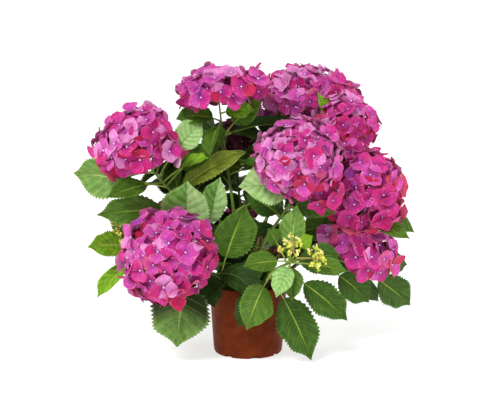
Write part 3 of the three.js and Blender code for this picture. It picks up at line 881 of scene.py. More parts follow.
SHOOTS = [
    Shoot("lowleft", (238, 42), Head((-139, -110, 200), (-0.4, -0.75, 0.52), 98, 0.86, 25, MIX_ROSE), [
        Leaf(0.82, -115, -72, 28, 113, 116, 10, -45, Tone.PAINTED_SHADOW_BASE),
        Leaf(0.36, -26, 69, 38, 107, 84, 6, 65, Tone.FRESH),
        Leaf(0.45, -34, -23, 12, 90, 62, 40, 0, Tone.SHADE),
        Leaf(0.6, -58, -58, 8, 62, 50, 12, 0, Tone.SHADE),
    ], [
        Leaf(0.3, -112, -16, 8, 64, 54, 14, 0, Tone.SHADE),
    ]),
    Shoot("centre", (300, 42), Tip((86, -118, 200), (0.3, -0.8, 0.5)), [
        Leaf(0.36, -24, -61, 48, 122, 74, 8, 55, Tone.DEEP),
        Leaf(0.43, -132, -51, 36, 90, 67, 14, -30, Tone.FRESH),
        Leaf(0.56, -6, -37, 53, 102, 64, 10, 65, Tone.DEEP),
        Leaf(0.84, -115, -37, 15, 68, 42, 12, 0, Tone.MINT),
        Leaf(0.84, -147, 2, 31, 71, 42, 10, -25, Tone.FRESH),
        Leaf(0.8, -86, -55, 10, 62, 46, 8, 10, Tone.FRESH),
        Leaf(0.8, -59, 78, 26, 83, 50, 4, -55, Tone.SAGE),
        Leaf(0.72, 16, 6, 23, 79, 64, 10, 70, Tone.DEEP),
        Leaf(0.8, -5, -8, 35, 67, 36, 8, 55, Tone.FRESH),
        Leaf(0.8, -37, 48, 39, 34, 28, 8, 70, Tone.LIME),
        Leaf(0.74, -138, 56, 48, 36, 32, 6, -50, Tone.FRESH),
        Leaf(0.5, -150, -52, 48, 75, 50, 12, -15, Tone.SHADE),
    ], [
        Leaf(0.2, 176, -3, 14, 84, 58, 20, -30, Tone.SHADE),
    ]),
    Shoot("left", (200, 32), Head(
        (-203, -30, 392), (-0.45, -0.3, 0.84), 86, 0.8, 25, MIX_ROSE, lobes=(
            Lobe((-140, -52, 382), (0.7, -0.7, 0), 22, MIX_ROSE),
        )), [
        Leaf(0.76, 172, 6, 68, 116, 84, 4, -85, Tone.SAGE),
        Leaf(0.8, -133, -5, 42, 92, 44, 8, -60, Tone.FRESH),
        Leaf(0.73, 38, 22, 58, 125, 66, 10, 70, Tone.OLIVE),
        Leaf(0.8, -15, 29, 44, 55, 42, 16, 12, Tone.LIME),
        Leaf(0.84, 20, 49, 61, 69, 57, 12, 75, Tone.MINT),
        Leaf(0.62, 8, 43, 33, 62, 50, 10, 75, Tone.SHADE),
        Leaf(0.84, 42, 46, 94, 57, 42, 10, 50, Tone.FRESH),
        Leaf(0.4, -61, 66, 19, 99, 54, 6, 85, Tone.PAINTED_SHEEN_HALF),
    ], [
        Leaf(0.7, -4, 31, 20, 132, 46, 13, 62, Tone.OLIVE),
        Leaf(0.77, 8, 38, 40, 74, 52, 14, 60, Tone.FRESH),
        Leaf(0.55, 178, -2, 55, 120, 62, 8, -66, Tone.FRESH),
    ]),
    Shoot("farleft", (180, 52), Tip((-222, 10, 203), (-0.8, 0.05, 0.6)), [
        Leaf(0.46, -82, 67, 64, 105, 94, 4, 105, Tone.PAINTED_SHEEN_HALF),
        Leaf(0.7, 164, 29, 33, 109, 62, 8, -60, Tone.DEEP),
        Leaf(0.8, -139, 11, 54, 81, 50, 12, -85, Tone.LIME),
        Leaf(0.8, -136, -30, 49, 89, 40, 14, -40, Tone.LIME),
    ]),
    Shoot("topleft", (170, 14), Head(
        (-55, 30, 482), (-0.1, 0.1, 1), 85, 0.58, 25, MIX_ROSE, lobes=(
            Lobe((16, 15, 496), (0.6, -0.5, 0.6), 24, MIX_ROSE),
        )), [
        Leaf(0.7, -146, 49, 12, 62, 50, 28, -110, Tone.FRESH),
        Leaf(0.82, -15, 51, 31, 68, 46, 12, 120, Tone.FRESH),
        Leaf(0.77, 124, 31, 37, 63, 46, 12, -60, Tone.DEEP),
    ], [
        Leaf(0.9, -105, -38, 10, 82, 52, 24, 8, Tone.FRESH),
        Leaf(0.9, 175, 2, 16, 68, 50, 22, -60, Tone.FRESH),
        Leaf(0.84, 10, -12, 14, 72, 48, 20, 55, Tone.SHADE),
        Leaf(0.94, -30, 8, 12, 60, 38, 14, 60, Tone.LIME),
    ]),
    Shoot("top", (50, 14), Head(
        (121, 150, 472), (0.1, 0.15, 1), 96, 0.55, 20.5, MIX_PALE, lobes=(
            Lobe((48, 100, 452), (-0.4, -0.75, 0.4), 36, MIX_PALE),
            Lobe((102, 78, 452), (0, -0.8, 0.6), 36, MIX_PALE),
            Lobe((194, 105, 460), (0.8, -0.4, 0.5), 28, MIX_ROSE),
        )), [
        Leaf(0.66, 173, 58, 67, 61, 42, 10, 230, Tone.SHADE),
    ], [
        Leaf(0.9, 185, -8, 14, 78, 48, 18, -55, Tone.SHADE),
    ]),
    Shoot("topright", (5, 30), Head(
        (182, 24, 423), (0.35, -0.1, 0.93), 64, 0.85, 21, MIX_ROSE, lobes=(
            Lobe((190, -12, 376), (0.4, -0.85, 0), 30, MIX_DEEP),
        )), [
        Leaf(0.42, -150, -19, 29, 46, 46, 12, 15, Tone.SHADE),
    ], [
        Leaf(0.95, 192, 66, 36, 66, 30, 4, -70, Tone.LIME),
        Leaf(0.86, -10, -2, 8, 66, 56, 10, 60, Tone.SHADE),
    ]),
    Shoot("front", (290, 15), Head(
        (89, -105, 377), (0, -0.45, 0.89), 89, 0.88, 20, MIX_PALE, lobes=(
            Lobe((84, -124, 330), (-0.1, -0.9, -0.1), 20, MIX_ROSE),
            Lobe((132, -102, 316), (0.2, -0.9, -0.1), 30, MIX_DEEP),
        )), [
        Leaf(0.84, -157, 9, 12, 97, 78, 12, -30, Tone.MINT),
        Leaf(0.69, -27, 8, 20, 74, 60, 12, 20, Tone.SAGE),
        Leaf(0.62, -172, 32, 10, 65, 53, 12, -45, Tone.DEEP),
        Leaf(0.36, -110, -48, 19, 82, 46, 12, 10, Tone.SHADE),
    ], [
        Leaf(0.34, 180, 1, 12, 84, 62, 18, -50, Tone.SHADE),
        Leaf(0.7, -18, -3, 12, 80, 44, 8, 50, Tone.SAGE),
        Leaf(0.32, 168, -8, 14, 80, 58, 20, -45, Tone.SHADE),
        Leaf(0.2, -96, -32, 14, 78, 58, 20, 0, Tone.SHADE),
        Leaf(0.3, 184, -14, 14, 74, 56, 8, -55, Tone.SHADE),
    ]),
    Shoot("right", (335, 34), Head(
        (223, -20, 316), (0.7, -0.35, 0.62), 73, 0.85, 24, MIX_DEEP, lobes=(
            Lobe((166, -58, 292), (-0.1, -0.9, 0.2), 30, MIX_DEEP),
            Lobe((190, -60, 270), (0, -0.9, -0.2), 34, MIX_DEEP),
            Lobe((243, -48, 268), (0.3, -0.85, -0.2), 30, MIX_DEEP),
        )), [
        Leaf(0.74, -8, -12, 94, 69, 34, 10, 55, Tone.FRESH),
        Leaf(0.49, -28, 15, 12, 66, 60, 10, 75, Tone.FRESH),
    ], [
        Leaf(0.97, 0, -33, 60, 68, 32, 6, 60, Tone.FRESH),
    ]),
    Shoot("lowright", (355, 51), Head(
        (218, 10, 192), (0.8, -0.5, 0.3), 80, 0.7, 26, MIX_PALE, 0.9, (0, 0, -1), (
            Lobe((160, -34, 222), (-0.2, -0.9, 0.3), 30, MIX_PALE),
        )), [
        Leaf(0.7, 10, -32, 113, 81, 67, 12, 85, Tone.DEEP),
        Leaf(0.74, 16, -4, 112, 67, 50, 6, 55, Tone.DEEP),
        Leaf(0.66, 6, -32, 85, 65, 36, 12, 80, Tone.DEEP),
        Leaf(0.5, -10, -28, 65, 76, 62, 14, 85, Tone.DEEP),
        Leaf(0.5, 11, -5, 44, 76, 60, 10, 75, Tone.FRESH),
    ]),
    Shoot("back", (95, 30), Head((-25, 115, 376), (-0.05, 0.3, 0.95), 57, 0.9, 23, MIX_SHADED), []),
    Shoot("backright", (50, 37), Head((135, 165, 285), (0.45, 0.78, 0.43), 76, 0.8, 24, MIX_DEEP), []),
    Shoot("backleft", (145, 51), Head(
        (-140, 125, 225), (-0.6, 0.68, 0.42), 82, 0.8, 25, MIX_ROSE, bare=(-0.62, -0.3, 0.72)
    ), []),
    Shoot("backlow", (90, 52), Head((5, 200, 190), (0.05, 0.93, 0.36), 72, 0.8, 24, MIX_ROSE), []),
    Shoot("highleft", (135, 32), Tip((-125, 120, 355), (-0.45, 0.45, 0.78), False), []),
]


# ---------------------------------------------------------------- pot and compost


def deselect_all() -> None:
    """Leaves nothing selected, so that an operator acts only on what is picked next."""
    if bpy.context.object and bpy.context.object.mode != "OBJECT":
        bpy.ops.object.mode_set(mode="OBJECT")
    bpy.ops.object.select_all(action="DESELECT")


def pick_vertices(piece: bpy.types.Object, test: Callable[[Vector], bool]) -> None:
    """Selects the vertices of the piece in edit mode whose place passes a test."""
    bpy.ops.mesh.select_mode(type="VERT")
    bpy.ops.mesh.select_all(action="DESELECT")
    mesh = bmesh.from_edit_mesh(piece.data)
    for vertex in mesh.verts:
        vertex.select = test(vertex.co)
    mesh.select_flush(True)
    bmesh.update_edit_mesh(piece.data)


@dataclass
class NurseryPot:
    """The round plastic pot, with its rim, foot crease and drain notches. Sizes are in millimetres."""

    height: float = 130
    rim_radius: float = 75
    rim_height: float = 14
    rim_wall: float = 4
    top_radius: float = 71
    base_radius: float = 64
    wall: float = 2
    floor: float = 2.5
    corner_radius: float = 4
    foot_ring: float = 9
    crease: float = 0.8
    sides: int = 112
    notches: int = 8
    notch_width: float = 13
    notch_height: float = 5
    first_notch: float = -79.5
    compost_drop: float = 18

    @property
    def compost_top(self) -> float:
        """The height of the compost."""
        return self.height - self.compost_drop

    def wall_radius(self, z: float) -> float:
        """The outer radius of the wall at a height."""
        rise = (z - self.foot_ring) / (self.height - self.rim_height - self.foot_ring)
        return self.base_radius + (self.top_radius - self.base_radius) * rise

    def profile(self) -> Iterator[tuple[float, float]]:
        """The section's points, from the underside up the outside, over the rim and down the inside."""
        foot = self.wall_radius(self.foot_ring) - self.crease
        under_rim = self.height - self.rim_height
        for angle in range(-90, 1, 15):
            turn = math.radians(angle)
            middle = foot - self.corner_radius
            yield middle + self.corner_radius * math.cos(turn), self.corner_radius * (1 + math.sin(turn))
        yield foot, self.foot_ring - 2 * self.crease
        yield foot + 0.3 * self.crease, self.foot_ring - self.crease
        yield self.wall_radius(self.foot_ring), self.foot_ring
        for share in (0.02, 0.5, 0.985):
            z = self.foot_ring + (under_rim - self.foot_ring) * share
            yield self.wall_radius(z), z
        yield self.wall_radius(under_rim) + 0.4, under_rim
        yield self.rim_radius - 1.2, under_rim
        yield self.rim_radius - 0.4, under_rim + 0.4
        yield self.rim_radius - 0.2, under_rim + 1.2
        yield self.rim_radius, self.height - 1.6
        for angle in range(0, 181, 30):
            turn = math.radians(angle)
            middle, half = self.rim_radius - self.rim_wall / 2, self.rim_wall / 2
            yield middle + half * math.cos(turn), self.height - 1.4 + 1.4 * math.sin(turn)
        yield self.rim_radius - self.rim_wall - 0.2, under_rim + 2
        yield self.wall_radius(under_rim) - self.wall, under_rim - 1
        yield self.wall_radius(self.floor) - self.wall, self.floor + 2
        yield self.wall_radius(self.floor) - self.wall - 2, self.floor

    def build(self) -> bpy.types.Object:
        """Models the pot: a disc whose edge is drawn up, over the rim and down again, then notched."""
        deselect_all()
        points = [(r * MM, z * MM) for r, z in self.profile()]
        radius, height = points[0]
        bpy.ops.mesh.primitive_circle_add(vertices=self.sides, radius=radius, fill_type="TRIFAN")
        pot = bpy.context.object
        pot.name = pot.data.name = "pot_shell"
        bpy.ops.object.mode_set(mode="EDIT")
        pick_vertices(pot, lambda place: place.length > radius * 0.5)
        for wide, high in points[1:]:
            bpy.ops.mesh.extrude_region_move(TRANSFORM_OT_translate={"value": (0, 0, high - height)})
            bpy.ops.transform.resize(value=(wide / radius, wide / radius, 1), center_override=(0, 0, high))
            radius, height = wide, high
        bpy.ops.mesh.extrude_region_move(TRANSFORM_OT_translate={"value": (0, 0, 0)})
        bpy.ops.mesh.merge(type="CENTER")
        bpy.ops.mesh.select_all(action="SELECT")
        bpy.ops.mesh.remove_doubles(threshold=1e-6)
        bpy.ops.mesh.normals_make_consistent(inside=False)
        bpy.ops.object.mode_set(mode="OBJECT")
        self._cut_notches(pot)
        bpy.ops.object.shade_smooth_by_angle(angle=math.radians(28))
        pot.data.materials.append(PotFinish().material())
        return pot

    def _cut_notches(self, pot: bpy.types.Object) -> None:
        """Cuts the drain notches through the foot."""
        foot = (self.wall_radius(self.foot_ring) - self.crease) * MM
        deselect_all()
        cutters = []
        for i in range(self.notches):
            turn = math.radians(self.first_notch + i * 360 / self.notches)
            place = (foot * math.cos(turn), foot * math.sin(turn), 0)
            bpy.ops.mesh.primitive_cube_add(size=1, location=place, rotation=(0, 0, turn))
            cutter = bpy.context.object
            cutter.scale = (16 * MM, self.notch_width * MM, 2 * self.notch_height * MM)
            cutters.append(cutter)
        for cutter in cutters:
            cutter.select_set(True)
        bpy.ops.object.transform_apply(location=True, rotation=True, scale=True)
        bpy.ops.object.join()
        tool = bpy.context.object
        deselect_all()
        bpy.context.view_layer.objects.active = pot
        pot.select_set(True)
        cut = pot.modifiers.new("notches", "BOOLEAN")
        cut.operation, cut.object, cut.solver = "DIFFERENCE", tool, "EXACT"
        bpy.ops.object.modifier_apply(modifier=cut.name)
        bpy.data.objects.remove(tool)


@dataclass
class Compost:
    """The compost's crumbly surface in the pot."""

    pot: NurseryPot
    rings: int = 14
    lump: float = 2.2

    def build(self) -> bpy.types.Object:
        """Models the block of compost: a cylinder whose top is inset in rings and roughened."""
        deselect_all()
        top, bottom = self.pot.compost_top * MM, (self.pot.floor + GAP) * MM
        radius = (self.pot.wall_radius(self.pot.compost_top) - self.pot.wall - 1.5 * GAP) * MM
        low = (self.pot.wall_radius(self.pot.floor) - self.pot.wall - 1.5 * GAP) * MM
        bpy.ops.mesh.primitive_cone_add(
            vertices=72, radius1=low - 2 * MM, radius2=radius, depth=top - bottom,
            location=(0, 0, (top + bottom) / 2),
        )
        block = bpy.context.object
        block.name = block.data.name = "compost_surface"
        bpy.ops.object.transform_apply(location=True, rotation=False, scale=False)
        bpy.ops.object.mode_set(mode="EDIT")
        bpy.ops.mesh.select_mode(type="FACE")
        mesh = bmesh.from_edit_mesh(block.data)
        for face in mesh.faces:
            face.select = face.normal.z > 0.9
        bmesh.update_edit_mesh(block.data)
        for _ in range(self.rings):
            bpy.ops.mesh.inset(thickness=radius / (self.rings + 1), depth=0)
        bpy.ops.mesh.poke()
        bpy.ops.object.mode_set(mode="OBJECT")
        dice = Dice(Seed.CRUMBS)
        for vertex in block.data.vertices:
            spread = math.hypot(vertex.co.x, vertex.co.y)
            if vertex.co.z > top - 1e-5 and spread < radius * 0.97:
                vertex.co.z += dice.between(-1.0, 0.4) * self.lump * MM
                vertex.co.x += dice.between(-1.0, 1.0) * MM
                vertex.co.y += dice.between(-1.0, 1.0) * MM
        block.data.materials.append(Skin.PEAT.value.material())
        return block


# ---------------------------------------------------------------- stems


@dataclass
class Stems:
    """The woody canes, the green stems above them and the leaf stalks, with their radii in millimetres."""

    bark: Sprays = field(default_factory=lambda: Sprays("canes_bark"))
    green: Sprays = field(default_factory=lambda: Sprays("stems_green"))
    stalks: Sprays = field(default_factory=lambda: Sprays("leaf_stalks"))

    CANE_END = 0.34
    CANE = tapering(5.3, 3.4)
    STEM = tapering(3.3, 1.6)
    JOINTS = 3

    def grow_cane(self, shoot: Shoot, dice: Dice) -> None:
        """Adds a cane with a flared foot, bark ridges and a scarred ring at each old leaf joint."""
        phase = dice.between(0, 6)

        def radius(share: np.ndarray) -> np.ndarray:
            """The cane's radius at shares of it, round its sides."""
            turn = np.linspace(0, 2 * math.pi, share.shape[1], endpoint=False)[None, :]
            body = Stems.CANE(share) * (1 + 0.5 * np.exp(-share * 14))
            ridge = 0.3 * np.sin(turn * 5 + phase + 9 * share) + 0.2 * np.sin(turn * 8 - 31 * share)
            joint = 0.9 * np.exp(-((np.mod(share * self.JOINTS + 0.5, 1) - 0.5) * 22) ** 2)
            return body + ridge + joint

        self.bark.add(*tube(shoot.line, 0, self.CANE_END, radius, 16, 44))

    def grow_stem(self, shoot: Shoot) -> None:
        """Adds the green stem, swollen a little at each pair of leaves."""
        joints = sorted({leaf.at for leaf in shoot.leaves} | set(PAIR_PLACES))

        def radius(share: np.ndarray) -> np.ndarray:
            """The stem's radius at shares of it."""
            place = self.CANE_END + (1 - self.CANE_END) * share
            body = Stems.STEM(share)
            for joint in joints:
                body = body + 0.55 * np.exp(-(((place - joint) / 0.012) ** 2))
            return body

        start = self.CANE_END + GAP / shoot.line.length
        self.green.add(*tube(shoot.line, start, 1.0, radius, 10, 60))


# ---------------------------------------------------------------- leaves


@dataclass
class LeafShape:
    """How a blade is drawn: its outline, teeth, fold and quilting, all by the same rule for every leaf."""

    grid: LeafGrid
    teeth: float = 0.065
    uneven: float = 0.06
    fold: float = 14
    shear: tuple[float, float] = (-0.06, 0.19)
    outward: float = 0.6
    thickness: float = 0.9
    quilt: float = 1.0

    def outline(self, along: np.ndarray) -> np.ndarray:
        """The share of the greatest breadth at places along the blade, drawn to a point at the tip."""
        along = np.clip(along, 0, 1)
        return np.sin(math.pi * along**0.84) ** 0.68 * (1 - 0.66 * smooth(0.74, 1.0, along))

    def draw(self, line: Line, leaf: Leaf, dice: Dice) -> np.ndarray:
        """The corners of a leaf's blade.

        Args:
            line: the leaf's line, from its stem to its tip.
            leaf: the leaf.
            dice: for the waves of its margin.

        Returns:
            The corners, in the order of the grid.
        """
        start = leaf.petiole / (leaf.petiole + leaf.length)
        rows, columns = self.grid.along[:, None], self.grid.across[None, :]
        out = np.abs(columns)
        swell = np.sin(math.pi * rows)
        along = rows + swell * (self.shear[0] + (self.shear[1] - self.shear[0]) * out**1.4)
        notch = (np.arange(len(self.grid.along)) % 2 == 0)[:, None] & (out > 0.999)
        along = np.clip(along + np.where(out > 0.999, 0.4 / self.grid.rows, 0), 0, 1)
        half = self.outline(rows + self.shear[1] * swell) * leaf.breadth / 2
        half = half * np.where(notch, 1 - self.teeth * 1.6, 1 + self.teeth * 0.4)
        share = start + (1 - start) * along
        spots, tangents = line.point(share), line.tangent(share)
        face, side = self.frame(spots, tangents, leaf.roll)
        wave, turns = dice.between(0.8, 2.4), dice.between(1.5, 3.0)
        phase, cup = dice.between(0, FULL_TURN), dice.between(-0.1, 0.06)
        fold = math.radians(self.fold + dice.between(-4, 12))
        sway = 2 * math.pi * turns * rows + phase
        half = half * (1 + self.uneven * swell * np.sin(sway + 1.3 * np.sign(columns)))
        level = out * half
        ripple = wave * np.sin(sway + columns * 1.5) * out**2 * swell
        pillow = self.quilt * np.abs(np.sin(math.pi * VEINS * rows)) ** 0.7 * np.sin(math.pi * out) ** 0.6
        lift = level * math.sin(fold) + cup * level * out + (ripple + pillow * swell) * leaf.length / 100
        surface = spots + side * (columns * half * math.cos(fold))[..., None] + face * lift[..., None]
        depth = self.thickness * (1.2 - out) * swell + 0.1
        return self.grid.corners(surface, line.point(np.array((start, 1.0))), -face * depth[..., None])

    def frame(self, spots: np.ndarray, tangents: np.ndarray, roll: float) -> tuple[np.ndarray, np.ndarray]:
        """The upward and sideways directions of a blade at points of its midrib."""
        level = unit(spots * np.array((1.0, 1.0, 0.0)))
        face = rotated(square_to(UP + self.outward * level, tangents), tangents, math.radians(roll))
        return face, np.cross(face, tangents)


@dataclass(frozen=True)
class LeafRule:
    """The ranges that leaves of one kind are drawn from, in millimetres and degrees."""

    length: tuple[float, float]
    stray: float
    pitch: tuple[float, float]
    petiole: tuple[float, float]
    droop: tuple[float, float]
    roll: float

    SLIMNESS = 0.62

    def leaf(self, at: float, heading: float, dice: Dice) -> Leaf:
        """A leaf at a place on its shoot and near a heading."""
        length = dice.between(*self.length)
        return Leaf(
            at, heading + dice.between(-self.stray, self.stray), dice.between(*self.pitch),
            dice.between(*self.petiole), length, length * self.SLIMNESS, dice.between(*self.droop),
            dice.between(-self.roll, self.roll),
        )

    def pairs(self, places: tuple[float, ...], first: float, turn: float, dice: Dice) -> Iterator[Leaf]:
        """Opposite pairs of leaves up a shoot, each pair turned on from the last one."""
        for step, place in enumerate(places):
            for side in (0, 180):
                yield self.leaf(place, first + step * turn + side, dice)


@dataclass
class Foliage:
    """All leaves: those of the CAD masses, found again by their rule, and smaller ones among them."""

    shoots: list[Shoot]
    stems: Stems
    large: LeafShape = field(default_factory=lambda: LeafShape(LeafGrid(44, 5)))
    small: LeafShape = field(default_factory=lambda: LeafShape(LeafGrid(34, 3)))
    sprays: dict[Tone, Sprays] = field(default_factory=dict)
    count: int = 0

    FULL = LeafRule((86, 118), 14, (-5, 28), (22, 34), (12, 26), 12)
    FINE = LeafRule((56, 88), 20, (0, 48), (12, 26), (8, 26), 25)
    COLLAR = LeafRule((96, 118), 15, (-28, 2), (20, 34), (14, 30), 14)
    FINE_PLACES = (0.46, 0.57, 0.67, 0.77, 0.86, 0.92)
    COLLAR_PLACES = ((0.88, -75), (0.88, 75), (0.8, 20), (0.8, 160), (0.74, -110), (0.74, 110))
    NUDGES = (
        (0, 0), (7, 0), (-7, 0), (0, 8), (0, -8), (12, 8), (-12, 8), (12, -8), (-12, -8), (20, 0), (-20, 0),
    )
    MIX = {Tone.DEEP: 5, Tone.SHADE: 4, Tone.FRESH: 2.5}
    FOUND = 0.0015
    FRONT = -10
    BACK = 252
    REACH = 302
    LOW = 70
    PETIOLE = (1.9, 1.4)
    MIDRIB = (1.4, 0.35)
    MIDRIB_SHARE = 0.8
    MIDRIB_STEPS = 12
    MIDRIB_SIDES = 6
    SUNK = 0.9

    @staticmethod
    def leaf_line(root: np.ndarray, leaf: Leaf) -> Line:
        """The line of a leaf, from the middle of its stem to its tip."""
        reach = leaf.petiole + leaf.length
        bend = reach / 2 / math.cos(math.radians(leaf.droop))
        over = root + direction(leaf.heading, leaf.pitch + leaf.droop) * bend
        return Line(root, over, root + direction(leaf.heading, leaf.pitch) * reach)

    def found(self, shoot: Shoot, leaf: Leaf, tree: KDTree) -> Leaf | None:
        """The try of a leaf that stands in the shoot's CAD mass, or nothing where it was skipped."""
        root = shoot.line.point(leaf.at)
        for turn, lift in self.NUDGES:
            tried = leaf.turned(turn, lift)
            tip = self.leaf_line(root, tried).point(1.0)
            if tree.find(Vector(tip * MM))[2] < self.FOUND:
                return tried
        return None

    def grow(self) -> None:
        """Grows every leaf."""
        for index, shoot in enumerate(self.shoots):
            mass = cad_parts[f"foliage_{shoot.name}"].data
            tree = KDTree(len(mass.vertices))
            for number, vertex in enumerate(mass.vertices):
                tree.insert(vertex.co, number)
            tree.balance()
            tones = Dice(Seed.TONES, index)
            for leaf in shoot.leaves:
                self.place(shoot, self.found(shoot, leaf, tree), leaf.tone, self.large, tones)
            for leaf in self.FULL.pairs(PAIR_PLACES, index * 47, 90, Dice(Seed.PAIRS, index)):
                self.place(shoot, self.found(shoot, leaf, tree), tones.pick(self.MIX), self.large, tones)
        LOG.info("leaves of the CAD masses: %d", self.count)
        for index, shoot in enumerate(self.shoots):
            dice = Dice(Seed.YOUNG, index)
            for leaf in shoot.young:
                self.place(shoot, leaf, leaf.tone, self.large, dice)
            fine = self.FINE.pairs(self.FINE_PLACES, index * 61, 77, dice)
            for leaves, shape in ((fine, self.small), (self.collar(shoot, dice), self.large)):
                for leaf in leaves:
                    if self.has_room(shoot, leaf):
                        self.place(shoot, leaf, dice.pick(self.MIX), shape, dice)
        LOG.info("leaves in all: %d", self.count)

    def collar(self, shoot: Shoot, dice: Dice) -> Iterator[Leaf]:
        """Full leaves that spread from under a head, out past its rim."""
        heading = math.degrees(math.atan2(shoot.axis[1], shoot.axis[0]))
        for place, turn in self.COLLAR_PLACES:
            yield self.COLLAR.leaf(place, heading + turn, dice)

    def has_room(self, shoot: Shoot, leaf: Leaf) -> bool:
        """True where a younger leaf keeps behind the crown's front, in its reach and out of the heads."""
        spots = self.leaf_line(shoot.line.point(leaf.at), leaf).point(np.array((0.4, 0.6, 0.8, 1.0)))
        tip = spots[-1]
        if not self.FRONT <= tip[1] <= self.BACK or np.hypot(*tip[:2]) > self.REACH or tip[2] < self.LOW:
            return False
        if any(opening.holds(spots, 0.3 * leaf.breadth) for opening in OPENINGS):
            return False
        return not any(inside(other, spot) for spot in spots for other in self.shoots if other.flowers)

    def place(self, shoot: Shoot, leaf: Leaf | None, tone: Tone, shape: LeafShape, dice: Dice) -> None:
        """Adds one leaf with its stalk and midrib, where there is one."""
        if leaf is None:
            return
        self.count += 1
        line = self.leaf_line(shoot.line.point(leaf.at), leaf)
        spray = self.sprays.setdefault(tone, Sprays(tone.value.name))
        spray.add(shape.draw(line, leaf, dice), shape.grid.faces, shape.grid.any_cell(dice))
        start = leaf.petiole / (leaf.petiole + leaf.length)
        end = start + self.MIDRIB_SHARE * (1 - start)
        self.stems.stalks.add(*tube(line, 0.0, start, tapering(*self.PETIOLE), 8, 8))
        rib = tapering(*self.MIDRIB)
        points, faces, places = tube(line, start, end, rib, self.MIDRIB_SIDES, self.MIDRIB_STEPS)
        shares = np.linspace(start, end, self.MIDRIB_STEPS + 1)
        face, _ = shape.frame(line.point(shares), line.tangent(shares), leaf.roll)
        sunk = np.concatenate((np.repeat(face, self.MIDRIB_SIDES, axis=0), face[:1], face[-1:])) * self.SUNK
        self.stems.stalks.add(points - sunk, faces, places)


# ---------------------------------------------------------------- flower heads


@dataclass
class FloretShape:
    """How a floret is drawn: four broad sepals round a bead, cupped and waved by chance."""

    grid: LeafGrid = field(default_factory=lambda: LeafGrid(7, 2))

    @property
    def middle(self) -> int:
        """The number of the middle of the sepal's upper face among its corners."""
        wide = len(self.grid.across)
        return (self.grid.rows - 1) // 2 * wide + wide // 2

    @property
    def edge(self) -> int:
        """The number of the corner beside the middle, on its left margin."""
        return self.middle + len(self.grid.across) // 2

    def sepal(self, reach: float, wide: float, point: float, dice: Dice) -> np.ndarray:
        """The corners of a sepal that lies along +X and faces +Z.

        Args:
            reach: its length.
            wide: its greatest breadth.
            point: how pointed its tip is, from 0 to 1.
            dice: for its cup, fold and waves.

        Returns:
            The corners, in the order of the grid.
        """
        rows, columns = self.grid.along[:, None], self.grid.across[None, :]
        body = np.sin(math.pi * rows**0.88) ** (0.55 + 0.4 * point)
        half = body * (0.35 + 0.65 * smooth(0, 0.45, rows)) * wide / 2
        rise, curl = dice.between(0.02, 0.4), dice.between(-0.35, 0.3)
        fold, wave = dice.between(-0.05, 0.3), dice.between(0.03, 0.12)
        phase = dice.between(0, FULL_TURN)
        x = reach * rows
        ripple = wave * reach * np.sin(phase + rows * 5 + columns * 2.4) * columns**2
        z = reach * (rise * rows + curl * rows**2) + np.abs(columns) * half * fold + ripple
        surface = np.stack((x + 0 * columns, columns * half, z), axis=-1)
        ends = np.array(((0.0, 0, 0), (reach, 0, reach * (rise + curl))))
        depth = np.zeros_like(surface)
        depth[..., 2] = -0.45 * (1.1 - np.abs(columns))
        return self.grid.corners(surface, ends, depth)


